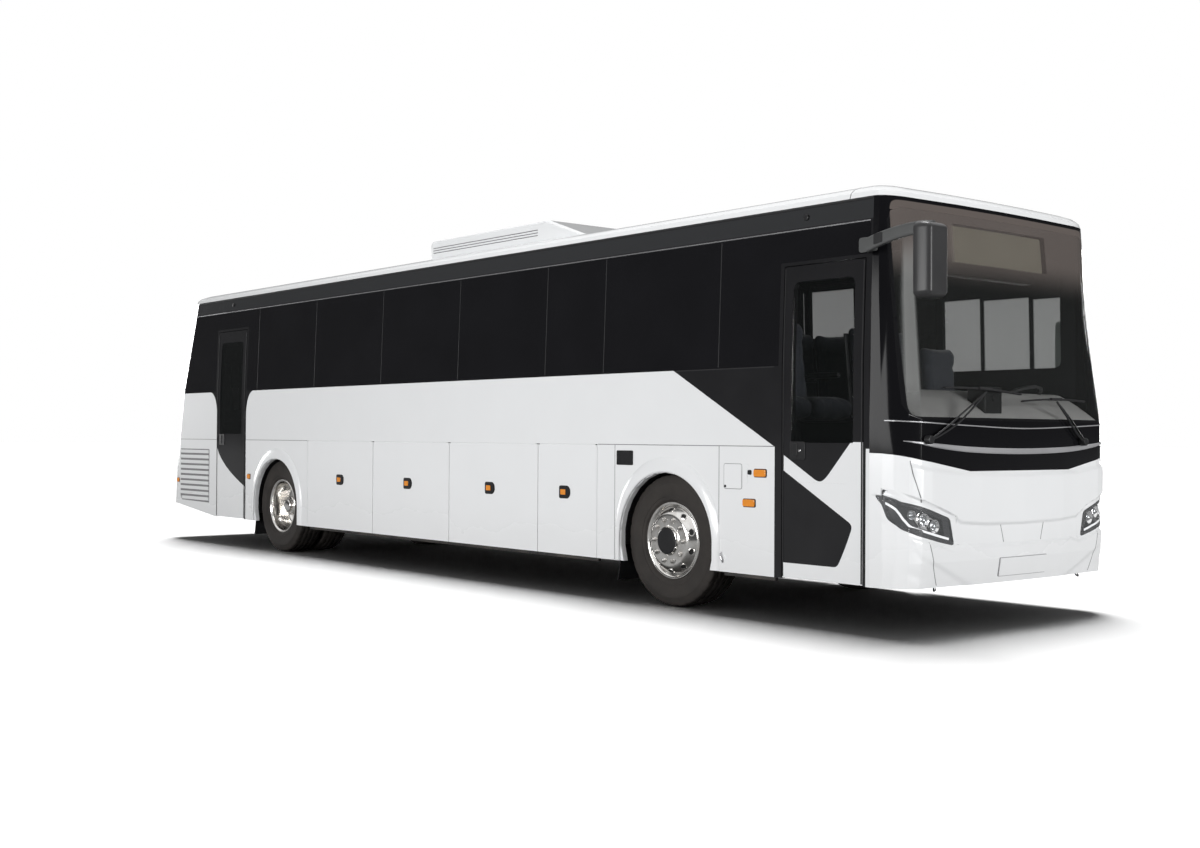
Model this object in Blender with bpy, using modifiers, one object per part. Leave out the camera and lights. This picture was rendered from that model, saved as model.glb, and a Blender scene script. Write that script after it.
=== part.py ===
"""Single-deck coach bus, about 12 m long, with passenger doors on its right side.

Metres. +X is forward, +Y the driver's (left) side, +Z up. The origin is on the
ground under the middle of the whole vehicle, so the front axle lies ahead of it.
"""

import math

import bmesh
import bpy
from mathutils import Matrix, Vector

# Clearances
SEAT_GAP = 0.0003            # pieces that rest on each other
RUN_GAP = 0.007              # doors, flaps and wheels past fixed pieces
PIN_GAP = 0.0005             # hinge lines, pins and hub seats
OVERRUN = 0.08               # how far every cutter passes what it cuts
WELD = 0.00001               # points this near become one

# Overall form
BODY_WIDTH = 2.55
FRONT_AXLE_X = 3.47
WHEELBASE = 6.57
WALL = 0.045                 # side wall, skin to lining
SKIRT_Z = 0.33
SEAM_Z = 1.27                # top of the luggage flaps and lower panels
BELT_Z = 1.85
RAIL_Z = 2.81                # top of the side glass
ROOF_EDGE_Z = 2.975
LEAN = 0.04                  # how far each side leans in from belt to roof edge
HALF_W = BODY_WIDTH / 2
LINING_Y = HALF_W - WALL
REAR_AXLE_X = FRONT_AXLE_X - WHEELBASE

# Nose and tail: (height, X of the middle, X of the seam with the side walls)
NOSE_LEVELS = ((0.33, 5.815, 5.50), (0.50, 5.84, 5.50), (1.46, 5.84, 5.50),
               (2.30, 5.705, 5.50), (2.975, 5.64, 5.50))
TAIL_LEVELS = ((0.45, -6.13, -5.83), (1.26, -6.06, -5.76), (1.86, -5.94, -5.64),
               (2.975, -5.61, -5.31))
CORNER_R = 0.27              # round of the corners, across the bus
END_BOW = 0.035              # how far the middle of each end stands out
CORNER_STEPS = 5
BOW_STEPS = 4
SHELL = 0.035                # panel thickness of both ends

# Openings and seams of the nose, as (distance in from the side, Z)
SCREEN_EDGE = 0.085
SCREEN_Z = (1.46, 2.90)
SCREEN_CORNER_R = 0.10
SCREEN_GLASS = 0.012
MASK_EDGE = ((0.675, 1.11), (0.185, 1.19), (-0.125, 1.265))
HEADLAMP = ((0.555, 0.61), (0.195, 0.72), (0.013, 0.77), (0.013, 1.00), (0.175, 0.93),
            (0.515, 0.81))
LAMP_REACH = 0.03            # how far ahead of the seam the headlamps end

# Openings of the tail, their edges measured in from the side
REAR_GLASS_EDGE = 0.275
REAR_GLASS_Z = (1.95, 2.74)
REAR_GLASS_R = 0.12
REAR_GLASS = 0.008
ENGINE_DOOR_EDGE = 0.435
ENGINE_DOOR_Z = (0.66, 1.50)
ENGINE_DOOR_R = 0.05
ENGINE_HINGE_HALF_W = 0.15
TAIL_LAMP_EDGES = (0.295, 0.035)
TAIL_LAMP_Z = (0.78, 1.40)
TAIL_LAMP_R = 0.04
TAIL_LAMP_REACH = 0.04

# Wheels
TYRE_R = 0.522
TYRE_W = 0.295
BEAD_R = 0.2858
TYRE_INSET = 0.06            # outer face of the outer tyres, in from the side
TWIN_PITCH = 0.325           # between the centres of twin tyres
WHEEL_STEPS = 28
TYRE_PROFILE = ((BEAD_R, 0.1155), (0.304, 0.1155), (0.330, 0.137), (0.415, 0.1475),
                (0.490, 0.135), (TYRE_R, 0.100))
FRONT_RIM = ((0, 0.200), (0.100, 0.197), (0.114, 0.188), (0.118, 0.174), (0.205, 0.172),
             (0.222, 0.163), (0.262, 0.118), (0.272, 0.114), (0.290, 0.128),
             (0.302, 0.128), (0.302, 0.1158), (0.2855, 0.1158), (0.2855, -0.1158),
             (0.302, -0.1158), (0.302, -0.128), (0.286, -0.128), (0.270, -0.100),
             (0.266, 0.072), (0.222, 0.124), (0.200, 0.140), (0.112, 0.140),
             (0.104, 0.055), (0, 0.055))
HAND_HOLES = 10
HAND_HOLE_R = 0.024
HAND_HOLE_AT_R = 0.240
HAND_HOLE_SIDES = 8
TWIN_RIM = ((0, 0.235), (0.072, 0.228), (0.108, 0.200), (0.118, 0.035), (0.200, 0.035),
            (0.264, 0.060), (0.272, 0.270), (0.290, 0.2905), (0.302, 0.2905),
            (0.302, 0.2783), (0.2855, 0.2783), (0.2855, 0.0467), (0.302, 0.0467),
            (0.302, 0.0345), (0.280, 0.0200), (0.280, -0.0200), (0.302, -0.0345),
            (0.302, -0.0467), (0.2855, -0.0467), (0.2855, -0.2783), (0.302, -0.2783),
            (0.302, -0.2905), (0.286, -0.2905), (0.272, -0.060), (0.200, -0.035),
            (0, -0.035))
ARCH_CLEAR = 0.013           # of the arch's edge round the tyre
ARCH_STEPS = 16
HOUSE_CLEAR = 0.143          # of the wheel house round the tyre
HOUSE_SIDE_CLEAR = 0.095     # of the wheel house beside the inner tyre
HOUSE_SKIN = 0.02
HOUSE_STEPS = 12
AXLE_Z = TYRE_R
ARCH_R = TYRE_R + ARCH_CLEAR
HOUSE_R = TYRE_R + HOUSE_CLEAR
TYRE_FACE_Y = HALF_W - TYRE_INSET
WHEEL_Y = TYRE_FACE_Y - TYRE_W / 2
TWIN_Y = WHEEL_Y - TWIN_PITCH / 2
HOUSE_INNER_Y = TYRE_FACE_Y - TYRE_W - TWIN_PITCH - HOUSE_SIDE_CLEAR

# Axles and knuckles, at one wheel: distances along the axle, in from the tyre's face
KINGPIN_IN = 0.345
KINGPIN_R = 0.048
BOSS_HALF = 0.062
LUG_Z = (0.0625, 0.125)      # below and above the axle line
YOKE_IN = (0.289, 0.255)
YOKE_HALF_X = 0.055
SPINDLE_R = 0.050
DRUM_R = 0.205
FRONT_DRUM_IN = (0.260, 0.155)
REAR_DRUM_IN = (0.595, 0.365)
BEAM_HALF = 0.045
TUBE_R = 0.080
DIFFERENTIAL_R = 0.19
SPRING_INSET = 0.005         # of the spring posts in the rails' width
SPRING_HALF_X = 0.06
KINGPIN_Y = TYRE_FACE_Y - KINGPIN_IN
YOKE_Y = tuple(TYRE_FACE_Y - y for y in YOKE_IN)
FRONT_DRUM_Y = tuple(TYRE_FACE_Y - y for y in FRONT_DRUM_IN)
REAR_DRUM_Y = tuple(TYRE_FACE_Y - y for y in REAR_DRUM_IN)

# Underframe
RAIL_CLEAR = 0.04            # of the rails beside the wheel houses
RAIL_W = 0.08
FRAME_RAIL_Z = (0.70, 0.8597)
FRONT_RAIL_X = (2.60, 5.66)
REAR_RAIL_X = (-5.92, -2.34)
BAY_X = (-2.375, 2.645)
BAY_Z = (0.40, 0.45)         # underside and top of the luggage floor
BULKHEAD = 0.03
CROSS_XS = (5.58, 4.40, -4.86, -5.70)
CROSS_HALF = 0.04
CROSS_Z = (0.62, 0.74)
RAIL_Y = (HOUSE_INNER_Y - RAIL_CLEAR - RAIL_W, HOUSE_INNER_Y - RAIL_CLEAR)
SPRING_Y = (RAIL_Y[0] + SPRING_INSET, RAIL_Y[1] - SPRING_INSET)

# Floor and stairs, the treads of each doorway listed from the bottom up
FLOOR_Z = 1.20
FLOOR = 0.06
CAB_FLOOR_Z = 0.92
CAB_REAR_X = 4.63
FLOOR_REAR_X = -5.60
STAIR_PLATE = 0.03
STAIR_LOW_Z = 0.38
TREAD = 0.24
WELL_CLEAR = 0.001           # of the stairs inside the lining
WELL_Y = LINING_Y - WELL_CLEAR
FRONT_TREADS = (0.41, 0.665, CAB_FLOOR_Z)
REAR_TREADS = (0.41, 0.67, 0.935, FLOOR_Z)

# Doors along the right side, rear edge and front edge of each opening
FRONT_DOOR_X = (4.70, 5.45)
REAR_DOOR_X = (-4.68, -3.91)
FRONT_DOOR_TOP_Z = 2.56
REAR_DOOR_TOP_Z = 2.58
DOOR_LOW_Z = 0.337
DOOR_PANE_Z = (1.02, 2.44)
DOOR_STILE = 0.085
DOOR_PANE_R = 0.05
ARM_LENGTH = 0.42
ARM_ELBOW = (-0.106, 0.120)  # from the pole, in the closed pose
ARM_R = 0.015
ARM_ZS = (0.96, 2.495)
POLE_R = 0.018
POLE_INSET_X = 0.052         # from the opening's front edge
POLE_IN = 0.079              # from the outer edge of the lowest tread
EYE_R = 0.024
EYE_HALF = 0.02
PIN_R = 0.011
LUG_HALF_X = 0.016
LUG_T = 0.02
POLE_Y = WELL_Y - POLE_IN

# Luggage flaps, rear edge and front edge, the same on both sides
FLAP_XS = ((1.82, 2.63), (0.43, 1.82), (-0.97, 0.43), (-2.36, -0.97))
HINGE_R = 0.005
HINGE_DROP = 0.0035          # hinge line below the seam
HINGE_IN = 0.002             # hinge line inside the skin
HINGE_END = 0.02
HINGE_SIDES = 8
HINGE_Y = HALF_W - HINGE_IN
HINGE_Z = SEAM_Z - HINGE_DROP

# Side glass, pillar centre to pillar centre
RIGHT_PILLARS = (4.05, 2.70, 1.91, 0.56, -0.83, -2.23, -3.60)
LEFT_PILLARS = (5.40, 4.20, 2.70, 1.91, 0.56, -0.83, -2.23, -3.60, -4.70, -5.25)
FRONT_LIGHT_X = (4.05, 4.66)
REAR_LIGHT_X = (-5.25, -4.74)
PILLAR = 0.07
PANE_EDGE = 0.05             # of wall behind the glass at belt and rail
PANE_R = 0.05
SIDE_GLASS = 0.008
BAND_REAR_X = (-5.625, -5.345)  # rear end of the band at belt and at rail
BAND_FRONT_X = (5.484, 5.484)   # front end over the door, and at the rail
DOOR_POST = 0.035            # of wall between a doorway and the glass beside it

# Roof: rings from the edge inwards as (inset, height over the edge)
ROOF_RINGS = ((0, 0), (0.012, 0.037), (0.045, 0.065), (0.11, 0.089), (0.24, 0.108),
              (0.50, 0.125), (0.90, 0.135))
ROOF_SKIN = 0.04
POD_X = (-0.58, 1.37)
POD_NOSE_X = 2.14
POD_EDGE = 0.415             # in from the side
POD_TOP_Z = 3.315
POD_LOW_Z = 3.05
POD_ROUND = 0.05
POD_ROUND_STEPS = 2

# Inside
SEAT_BACK = 0.10
SEAT_X = 0.46                # cushion depth
SEAT_EDGE = 0.045            # of the seats from the lining
SEAT_W = 0.915               # width of a pair
CUSHION_Z = (1.48, 1.64)
BACK_TOP_Z = 2.28
PLINTH_IN = 0.425            # from the seats' outer edge
PLINTH_W = 0.10
SEAT_LEAP = 0.02             # how far the plinth stands into the cushions
SEAT_RECLINE = 0.08
ROW_PITCH = 0.78
ROWS = 12
FIRST_ROW_X = 4.10
REAR_BENCH_X = -5.27
LINK_X = (4.12, 4.30)        # floor strip under the front row
LINK_TOP = 0.015
DRIVER_SEAT = ((4.74, 5.18), (0.36, 0.84))
DRIVER_CUSHION_Z = (1.26, 1.40)
DRIVER_BACK_TOP_Z = 2.10
DRIVER_BASE_HALF = 0.13
DASH_X = (5.36, 5.66)
DASH_EDGE = 0.155            # of the dashboard from the side
DASH_RIGHT_Y = -0.42
SHELF_EDGE = 0.175
DASH_TOP_Z = 1.40
DASH_SHELF_Z = (1.34, 1.42)
WHEEL_CENTRE = (5.34, 0.60, 1.62)
WHEEL_R = 0.235
WHEEL_TUBE_R = 0.014
SPOKE_R = 0.009
SPOKES = 3
HUB_R = 0.05
HUB_HALF = 0.02
COLUMN_END = (5.48, 0.60, 1.35)
COLUMN_R = 0.03
ENGINE_X = (-5.70, -4.84)
ENGINE_CLEAR = 0.02          # of the engine between the rails
ENGINE_TOP_Z = 1.12
SEAT_Y = (LINING_Y - SEAT_EDGE - SEAT_W, LINING_Y - SEAT_EDGE)
PLINTH_Y = (SEAT_Y[1] - PLINTH_IN - PLINTH_W, SEAT_Y[1] - PLINTH_IN)

# Mirrors: each head's centre (X, out from the side, Z) and size
RIGHT_MIRROR = ((6.05, 0.055, 2.48), (0.13, 0.23, 0.49))
RIGHT_ARM = ((5.46, 2.63), (5.62, 2.665), (5.92, 2.70), (6.05, 2.70))  # middle, as (X, Z)
RIGHT_ARM_HALF_Z = 0.042
RIGHT_ARM_OUT = (0.030, 0.068)  # its faces, out from the side
RIGHT_FOOT_HALF = (0.05, 0.04)
LEFT_MIRROR = ((5.30, 0.10, 2.05), (0.10, 0.11, 0.46))
LEFT_ARM = ((5.44, PIN_GAP, 1.72), (5.44, 0.06, 1.72), (5.33, 0.10, 1.76),
            (5.30, 0.10, 1.90))
MIRROR_ARM_R = 0.022
MIRROR_ROUND = 0.03

ROD_SIDES = 12
ROUND_STEPS = 2
BALL_SIDES = 8
RING_STEPS = 16
SHARP_DEG = 35.0

parts = bpy.data.collections.new("coach_bus")


def clear_scene():
    """Empties the scene and links the collection that holds the parts."""
    for obj in list(bpy.data.objects):
        bpy.data.objects.remove(obj)
    bpy.context.scene.collection.children.link(parts)


def finish(name, colour, roughness, metallic=0.0, alpha=1.0):
    """A plain Principled material."""
    made = bpy.data.materials.new(name)
    made.use_nodes = True
    shader = made.node_tree.nodes["Principled BSDF"]
    shader.inputs["Base Color"].default_value = (*colour, 1.0)
    shader.inputs["Roughness"].default_value = roughness
    shader.inputs["Metallic"].default_value = metallic
    shader.inputs["Alpha"].default_value = alpha
    return made


WHITE = finish("white_paint", (0.86, 0.87, 0.88), 0.25)
BLACK = finish("black_gloss", (0.018, 0.018, 0.02), 0.15)
GLASS = finish("tinted_glass", (0.02, 0.022, 0.025), 0.05, alpha=0.5)
CLEAR = finish("windscreen_glass", (0.5, 0.55, 0.53), 0.03, alpha=0.3)
RUBBER = finish("tyre_rubber", (0.03, 0.03, 0.03), 0.85)
ALLOY = finish("polished_alloy", (0.8, 0.8, 0.82), 0.2, 1.0)
STEEL = finish("chassis_steel", (0.05, 0.05, 0.055), 0.6, 0.4)
CAST = finish("cast_iron", (0.12, 0.12, 0.12), 0.6, 0.7)
PLASTIC = finish("dark_plastic", (0.05, 0.05, 0.055), 0.5)
FLOORING = finish("flooring", (0.12, 0.12, 0.13), 0.7)
FABRIC = finish("seat_fabric", (0.08, 0.09, 0.12), 0.9)
LAMP = finish("lamp_glass", (0.75, 0.77, 0.8), 0.1, alpha=0.6)
RED_LAMP = finish("tail_lamp_glass", (0.5, 0.02, 0.02), 0.15)


def add(name, mesh, material=None):
    """A named object in the part's collection."""
    obj = bpy.data.objects.new(name, mesh)
    parts.objects.link(obj)
    if material:
        mesh.materials.clear()
        mesh.materials.append(material)
    return obj


def from_bmesh(name, bm, material=None):
    """An object from a bmesh, its faces turned outwards."""
    bmesh.ops.recalc_face_normals(bm, faces=bm.faces)
    mesh = bpy.data.meshes.new(name)
    bm.to_mesh(mesh)
    bm.free()
    return add(name, mesh, material)


def evaluated_mesh(obj):
    """The object's mesh with its modifiers, in world space."""
    bpy.context.view_layer.update()
    graph = bpy.context.evaluated_depsgraph_get()
    mesh = bpy.data.meshes.new_from_object(obj.evaluated_get(graph))
    mesh.transform(obj.matrix_world)
    return mesh


def settle(obj):
    """Replaces an object by its evaluated mesh, welded, with its place in the mesh."""
    mesh = evaluated_mesh(obj)
    bm = bmesh.new()
    bm.from_mesh(mesh)
    bmesh.ops.remove_doubles(bm, verts=bm.verts, dist=WELD)
    bmesh.ops.dissolve_degenerate(bm, edges=bm.edges, dist=WELD)
    bmesh.ops.recalc_face_normals(bm, faces=bm.faces)
    bm.to_mesh(mesh)
    bm.free()
    if obj.type == "MESH":
        obj.modifiers.clear()
        obj.data = mesh
        obj.matrix_world = Matrix.Identity(4)
        return obj
    material = obj.data.materials[0] if obj.data.materials else None
    name = obj.name
    bpy.data.objects.remove(obj)
    return add(name, mesh, material)


def boolean(obj, other, operation):
    """Joins, cuts or trims obj by other, which is used up."""
    modifier = obj.modifiers.new("cut", "BOOLEAN")
    modifier.operation = operation
    modifier.object = other
    modifier.solver = "EXACT"
    obj = settle(obj)
    bpy.data.objects.remove(other)
    return obj


def cut(obj, *others):
    for other in others:
        obj = boolean(obj, other, "DIFFERENCE")
    return obj


def join(obj, *others):
    for other in others:
        obj = boolean(obj, other, "UNION")
    return obj


def trim(obj, other):
    return boolean(obj, other, "INTERSECT")


def named(obj, name, material):
    """Gives a finished shape its node name and finish, free of sliver faces."""
    bm = bmesh.new()
    bm.from_mesh(obj.data)
    bmesh.ops.triangulate(bm, faces=[f for f in bm.faces if len(f.verts) > 4])
    bmesh.ops.dissolve_degenerate(bm, edges=bm.edges, dist=WELD)
    bm.to_mesh(obj.data)
    bm.free()
    obj.name = name
    obj.data.name = name
    obj.data.materials.clear()
    obj.data.materials.append(material)
    return obj


def box(x, y, z, bevel=0.0, segments=1):
    """A block between pairs of coordinates, with rounded edges if asked."""
    bm = bmesh.new()
    bmesh.ops.create_cube(bm, size=1.0)
    size = Vector((x[1] - x[0], y[1] - y[0], z[1] - z[0]))
    middle = Vector(((x[0] + x[1]) / 2, (y[0] + y[1]) / 2, (z[0] + z[1]) / 2))
    bmesh.ops.scale(bm, vec=size, verts=bm.verts)
    bmesh.ops.translate(bm, vec=middle, verts=bm.verts)
    if bevel:
        bmesh.ops.bevel(bm, geom=bm.edges, offset=bevel, segments=segments,
                        profile=0.5, affect="EDGES")
    return from_bmesh("block", bm)


def rod(start, end, radius, sides=ROD_SIDES, end_radius=None):
    """A round bar, or a cone, between two points."""
    start, end = Vector(start), Vector(end)
    along = end - start
    bm = bmesh.new()
    bmesh.ops.create_cone(bm, cap_ends=True, segments=sides, radius1=radius,
                          radius2=radius if end_radius is None else end_radius,
                          depth=along.length)
    turn = along.to_track_quat("Z", "Y").to_matrix().to_4x4()
    bmesh.ops.transform(bm, verts=bm.verts,
                        matrix=Matrix.Translation((start + end) / 2) @ turn)
    return from_bmesh("rod", bm)


PLANES = {
    "XZ": Matrix(((1, 0, 0), (0, 0, -1), (0, 1, 0))).to_4x4(),
    "YZ": Matrix(((0, 0, 1), (1, 0, 0), (0, 1, 0))).to_4x4(),
    "XY": Matrix.Identity(4),
}
NORMALS = {"XZ": Vector((0, 1, 0)), "YZ": Vector((1, 0, 0)), "XY": Vector((0, 0, 1))}


def prism(outlines, plane, low, high):
    """A flat outline, with any holes as further outlines, made thick across its plane."""
    curve = bpy.data.curves.new("outline", "CURVE")
    curve.dimensions = "2D"
    curve.fill_mode = "BOTH"
    curve.extrude = (high - low) / 2
    if not isinstance(outlines[0][0], (tuple, list)):
        outlines = [outlines]
    for points in outlines:
        spline = curve.splines.new("POLY")
        spline.points.add(len(points) - 1)
        for point, (u, v) in zip(spline.points, points):
            point.co = (u, v, 0, 1)
        spline.use_cyclic_u = True
    obj = bpy.data.objects.new("outline", curve)
    parts.objects.link(obj)
    obj.matrix_world = Matrix.Translation(NORMALS[plane] * (low + high) / 2) @ PLANES[plane]
    return settle(obj)


def arc(centre, radius, start, end, steps):
    """Points along an arc, in degrees, ends included."""
    turns = [math.radians(start + (end - start) * i / steps) for i in range(steps + 1)]
    return [(centre[0] + radius * math.cos(t), centre[1] + radius * math.sin(t))
            for t in turns]


def rounded(u, v, radius, steps=ROUND_STEPS):
    """A rectangle with round corners, anticlockwise."""
    corners = ((u[1] - radius, v[0] + radius, -90), (u[1] - radius, v[1] - radius, 0),
               (u[0] + radius, v[1] - radius, 90), (u[0] + radius, v[0] + radius, 180))
    return [p for cu, cv, a in corners for p in arc((cu, cv), radius, a, a + 90, steps)]


def turned(profile, steps, closed=False):
    """A profile of (radius, height) turned about Z, then laid along +Y."""
    mesh = bpy.data.meshes.new("profile")
    edges = [(i, i + 1) for i in range(len(profile) - 1)]
    if closed:
        edges.append((len(profile) - 1, 0))
    mesh.from_pydata([(r, 0, h) for r, h in profile], edges, [])
    obj = add("turned", mesh)
    screw = obj.modifiers.new("turn", "SCREW")
    screw.steps = screw.render_steps = steps
    screw.use_merge_vertices = True
    screw.merge_threshold = 0.0001
    obj.matrix_world = Matrix.Rotation(math.radians(-90), 4, "X")
    return settle(obj)


def moved(obj, offset):
    obj.data.transform(Matrix.Translation(offset))
    return obj


def half(span):
    """A half width as a span across the middle."""
    return (-span, span)


def grown(points, by):
    """An outline moved outwards by a distance, corner by corner."""
    area = sum(a[0] * b[1] - b[0] * a[1] for a, b in zip(points, points[1:] + points[:1]))
    side = math.copysign(1.0, area)
    out = []
    for i, point in enumerate(points):
        before, after = Vector(points[i - 1]), Vector(points[(i + 1) % len(points)])
        here = Vector(point)
        a = (here - before).normalized()
        b = (after - here).normalized()
        na, nb = Vector((a.y, -a.x)) * side, Vector((b.y, -b.x)) * side
        mitre = (na + nb) / (1 + na.dot(nb))
        out.append(tuple(here + mitre * by))
    return out


def strip(path, half_width):
    """Outline of a bent flat bar along an open path."""
    left, right = [], []
    for i, point in enumerate(path):
        here = Vector(point)
        before, after = Vector(path[max(i - 1, 0)]), Vector(path[min(i + 1, len(path) - 1)])
        a = (here - before).normalized() if i else (after - here).normalized()
        b = (after - here).normalized() if i < len(path) - 1 else a
        na, nb = Vector((-a.y, a.x)), Vector((-b.y, b.x))
        mitre = (na + nb) / (1 + na.dot(nb)) * half_width
        left.append(tuple(here + mitre))
        right.append(tuple(here - mitre))
    return right + left[::-1]


def from_edge(points, side=1):
    """Points of an end's outline, given as (distance in from the side, Z)."""
    return [(side * (HALF_W - inward), z) for inward, z in points]


def both_halves(points):
    """An outline across the middle from its left half, listed from the middle out."""
    return [(-y, z) for y, z in reversed(points)] + list(points)


def lean_in(z):
    """How far the body side has come in at a height."""
    return LEAN * max(0.0, z - BELT_Z) / (ROOF_EDGE_Z - BELT_Z)


def lean(obj):
    """Leans the part of a side panel above the belt in towards the roof."""
    bm = bmesh.new()
    bm.from_mesh(obj.data)
    bmesh.ops.bisect_plane(bm, geom=bm.verts[:] + bm.edges[:] + bm.faces[:],
                           plane_co=(0, 0, BELT_Z), plane_no=(0, 0, 1))
    for vert in bm.verts:
        vert.co.y -= math.copysign(lean_in(vert.co.z), vert.co.y)
    bm.to_mesh(obj.data)
    bm.free()
    return obj


def at_height(levels, z):
    """(X of the middle, X of the seam) of the nose or the tail at a height."""
    for (za, *a), (zb, *b) in zip(levels, levels[1:]):
        if z <= zb:
            share = (z - za) / (zb - za)
            return tuple(p + (q - p) * share for p, q in zip(a, b))
    return levels[-1][1:]


def end_plan(middle_x, seam_x, half_w, inset=0.0):
    """Plan of one end from its right seam to its left: corner, bowed middle, corner."""
    ahead = math.copysign(1.0, middle_x - seam_x)
    radius = max(CORNER_R - inset, CORNER_R / BOW_STEPS)
    width = half_w - inset
    flat = width - radius
    corner_x = middle_x - ahead * (inset + END_BOW)
    start_x = seam_x - ahead * inset
    points = []
    for i in range(CORNER_STEPS + 1):
        t = math.radians(90.0 * i / CORNER_STEPS)
        points.append((start_x + (corner_x - start_x) * math.sin(t),
                       -(flat + radius * math.cos(t))))
    for i in range(1, BOW_STEPS):
        y = -flat + 2 * flat * i / BOW_STEPS
        points.append((corner_x + ahead * END_BOW * (1 - (y / flat) ** 2), y))
    return points + [(x, -y) for x, y in reversed(points[:CORNER_STEPS + 1])]


def end_shell(levels, thickness):
    """Skin of the nose or the tail, made thick inwards."""
    ahead = math.copysign(1.0, levels[0][1])
    rows = []
    for z, middle_x, seam_x in levels:
        top = z - SEAT_GAP if z == ROOF_EDGE_Z else z
        rows.append([(x, y, top) for x, y in
                     end_plan(middle_x, seam_x + ahead * SEAT_GAP, HALF_W - lean_in(z))])
    across = len(rows[0])
    faces = []
    for i in range(len(rows) - 1):
        for j in range(across - 1):
            a = i * across + j
            face = (a, a + 1, a + across + 1, a + across)
            faces.append(face if ahead > 0 else face[::-1])
    mesh = bpy.data.meshes.new("shell")
    mesh.from_pydata([p for row in rows for p in row], [], faces)
    obj = add("shell", mesh)
    solid = obj.modifiers.new("thickness", "SOLIDIFY")
    solid.thickness = thickness
    solid.offset = -1.0
    solid.use_even_offset = True
    top = levels[-1][0] + OVERRUN
    seam = [(seam_x + ahead * SEAT_GAP, z) for z, _, seam_x in levels]
    behind = [(seam[-1][0], top), (0, top), (0, 0), (seam[0][0], 0)]
    return cut(settle(obj), prism(seam + behind, "XZ", *half(BODY_WIDTH)))


def across_end(outline, ahead):
    """A prism along X through the whole nose or tail."""
    reach = NOSE_LEVELS[1][1] + OVERRUN if ahead else -TAIL_LEVELS[0][1] + OVERRUN
    inner = NOSE_LEVELS[-1][2] - CORNER_R if ahead else -TAIL_LEVELS[-1][2] - CORNER_R
    return prism(outline, "YZ", inner, reach) if ahead else prism(outline, "YZ", -reach, -inner)


def side_band(outline_x, z):
    return [(outline_x[0], z[0]), (outline_x[1], z[0]), (outline_x[1], z[1]),
            (outline_x[0], z[1])]


def side_outline(right):
    """Outer edge of a side wall with its arches, doorways and luggage openings."""
    points = [(NOSE_LEVELS[0][2], SKIRT_Z)]

    def doorway(x, top):
        return [(x[1], SKIRT_Z), (x[1], top), (x[0], top), (x[0], SKIRT_Z)]

    def arch(axle_x):
        drop = math.degrees(math.asin((AXLE_Z - SKIRT_Z) / ARCH_R))
        return arc((axle_x, AXLE_Z), ARCH_R, -drop, 180 + drop, ARCH_STEPS)

    if right:
        points += doorway(FRONT_DOOR_X, FRONT_DOOR_TOP_Z)
    points += arch(FRONT_AXLE_X)
    points += [(FLAP_XS[0][1], SKIRT_Z), (FLAP_XS[0][1], SEAM_Z),
               (FLAP_XS[-1][0], SEAM_Z), (FLAP_XS[-1][0], SKIRT_Z)]
    points += arch(REAR_AXLE_X)
    if right:
        points += doorway(REAR_DOOR_X, REAR_DOOR_TOP_Z)
    points += [(REAR_DOOR_X[0] - DOOR_POST, SKIRT_Z)]
    points += [(seam_x, z) for z, _, seam_x in TAIL_LEVELS[:-1]]
    points += [(TAIL_LEVELS[-1][2], ROOF_EDGE_Z - SEAT_GAP),
               (NOSE_LEVELS[-1][2], ROOF_EDGE_Z - SEAT_GAP)]
    points += [(seam_x, z) for z, _, seam_x in reversed(NOSE_LEVELS[1:-1]) if z > BELT_Z]
    return points


def pane_openings(right):
    """Outlines of the window openings of one side."""
    if right:
        spans = [(b, a) for a, b in zip(RIGHT_PILLARS, RIGHT_PILLARS[1:])]
        spans += [FRONT_LIGHT_X, REAR_LIGHT_X]
    else:
        spans = [(b, a) for a, b in zip(LEFT_PILLARS, LEFT_PILLARS[1:])]
    return [rounded((a + PILLAR / 2, b - PILLAR / 2),
                    (BELT_Z + PANE_EDGE, RAIL_Z - PANE_EDGE), PANE_R) for a, b in spans]


def glass_outline(right):
    """Outline of the band of side glass, which on the right passes over both doors."""
    over, rear_over = FRONT_DOOR_TOP_Z + PANE_EDGE / 2, REAR_DOOR_TOP_Z + PANE_EDGE / 2
    rear = [(BAND_REAR_X[1], RAIL_Z), (BAND_REAR_X[0], BELT_Z)]
    front = [(BAND_FRONT_X[0], over), (BAND_FRONT_X[1], RAIL_Z)]
    if not right:
        return rear + [(BAND_FRONT_X[0], BELT_Z)] + front
    a, b = REAR_DOOR_X[0] - DOOR_POST, REAR_DOOR_X[1] + DOOR_POST
    c = FRONT_DOOR_X[0] - DOOR_POST
    return rear + [(a, BELT_Z), (a, rear_over), (b, rear_over), (b, BELT_Z), (c, BELT_Z),
                   (c, over)] + front


def on_side(outlines, right, low, high):
    """A prism through one body side, between two distances from the middle plane."""
    return prism(outlines, "XZ", *((-high, -low) if right else (low, high)))


def sign_of(right):
    return -1.0 if right else 1.0


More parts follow.
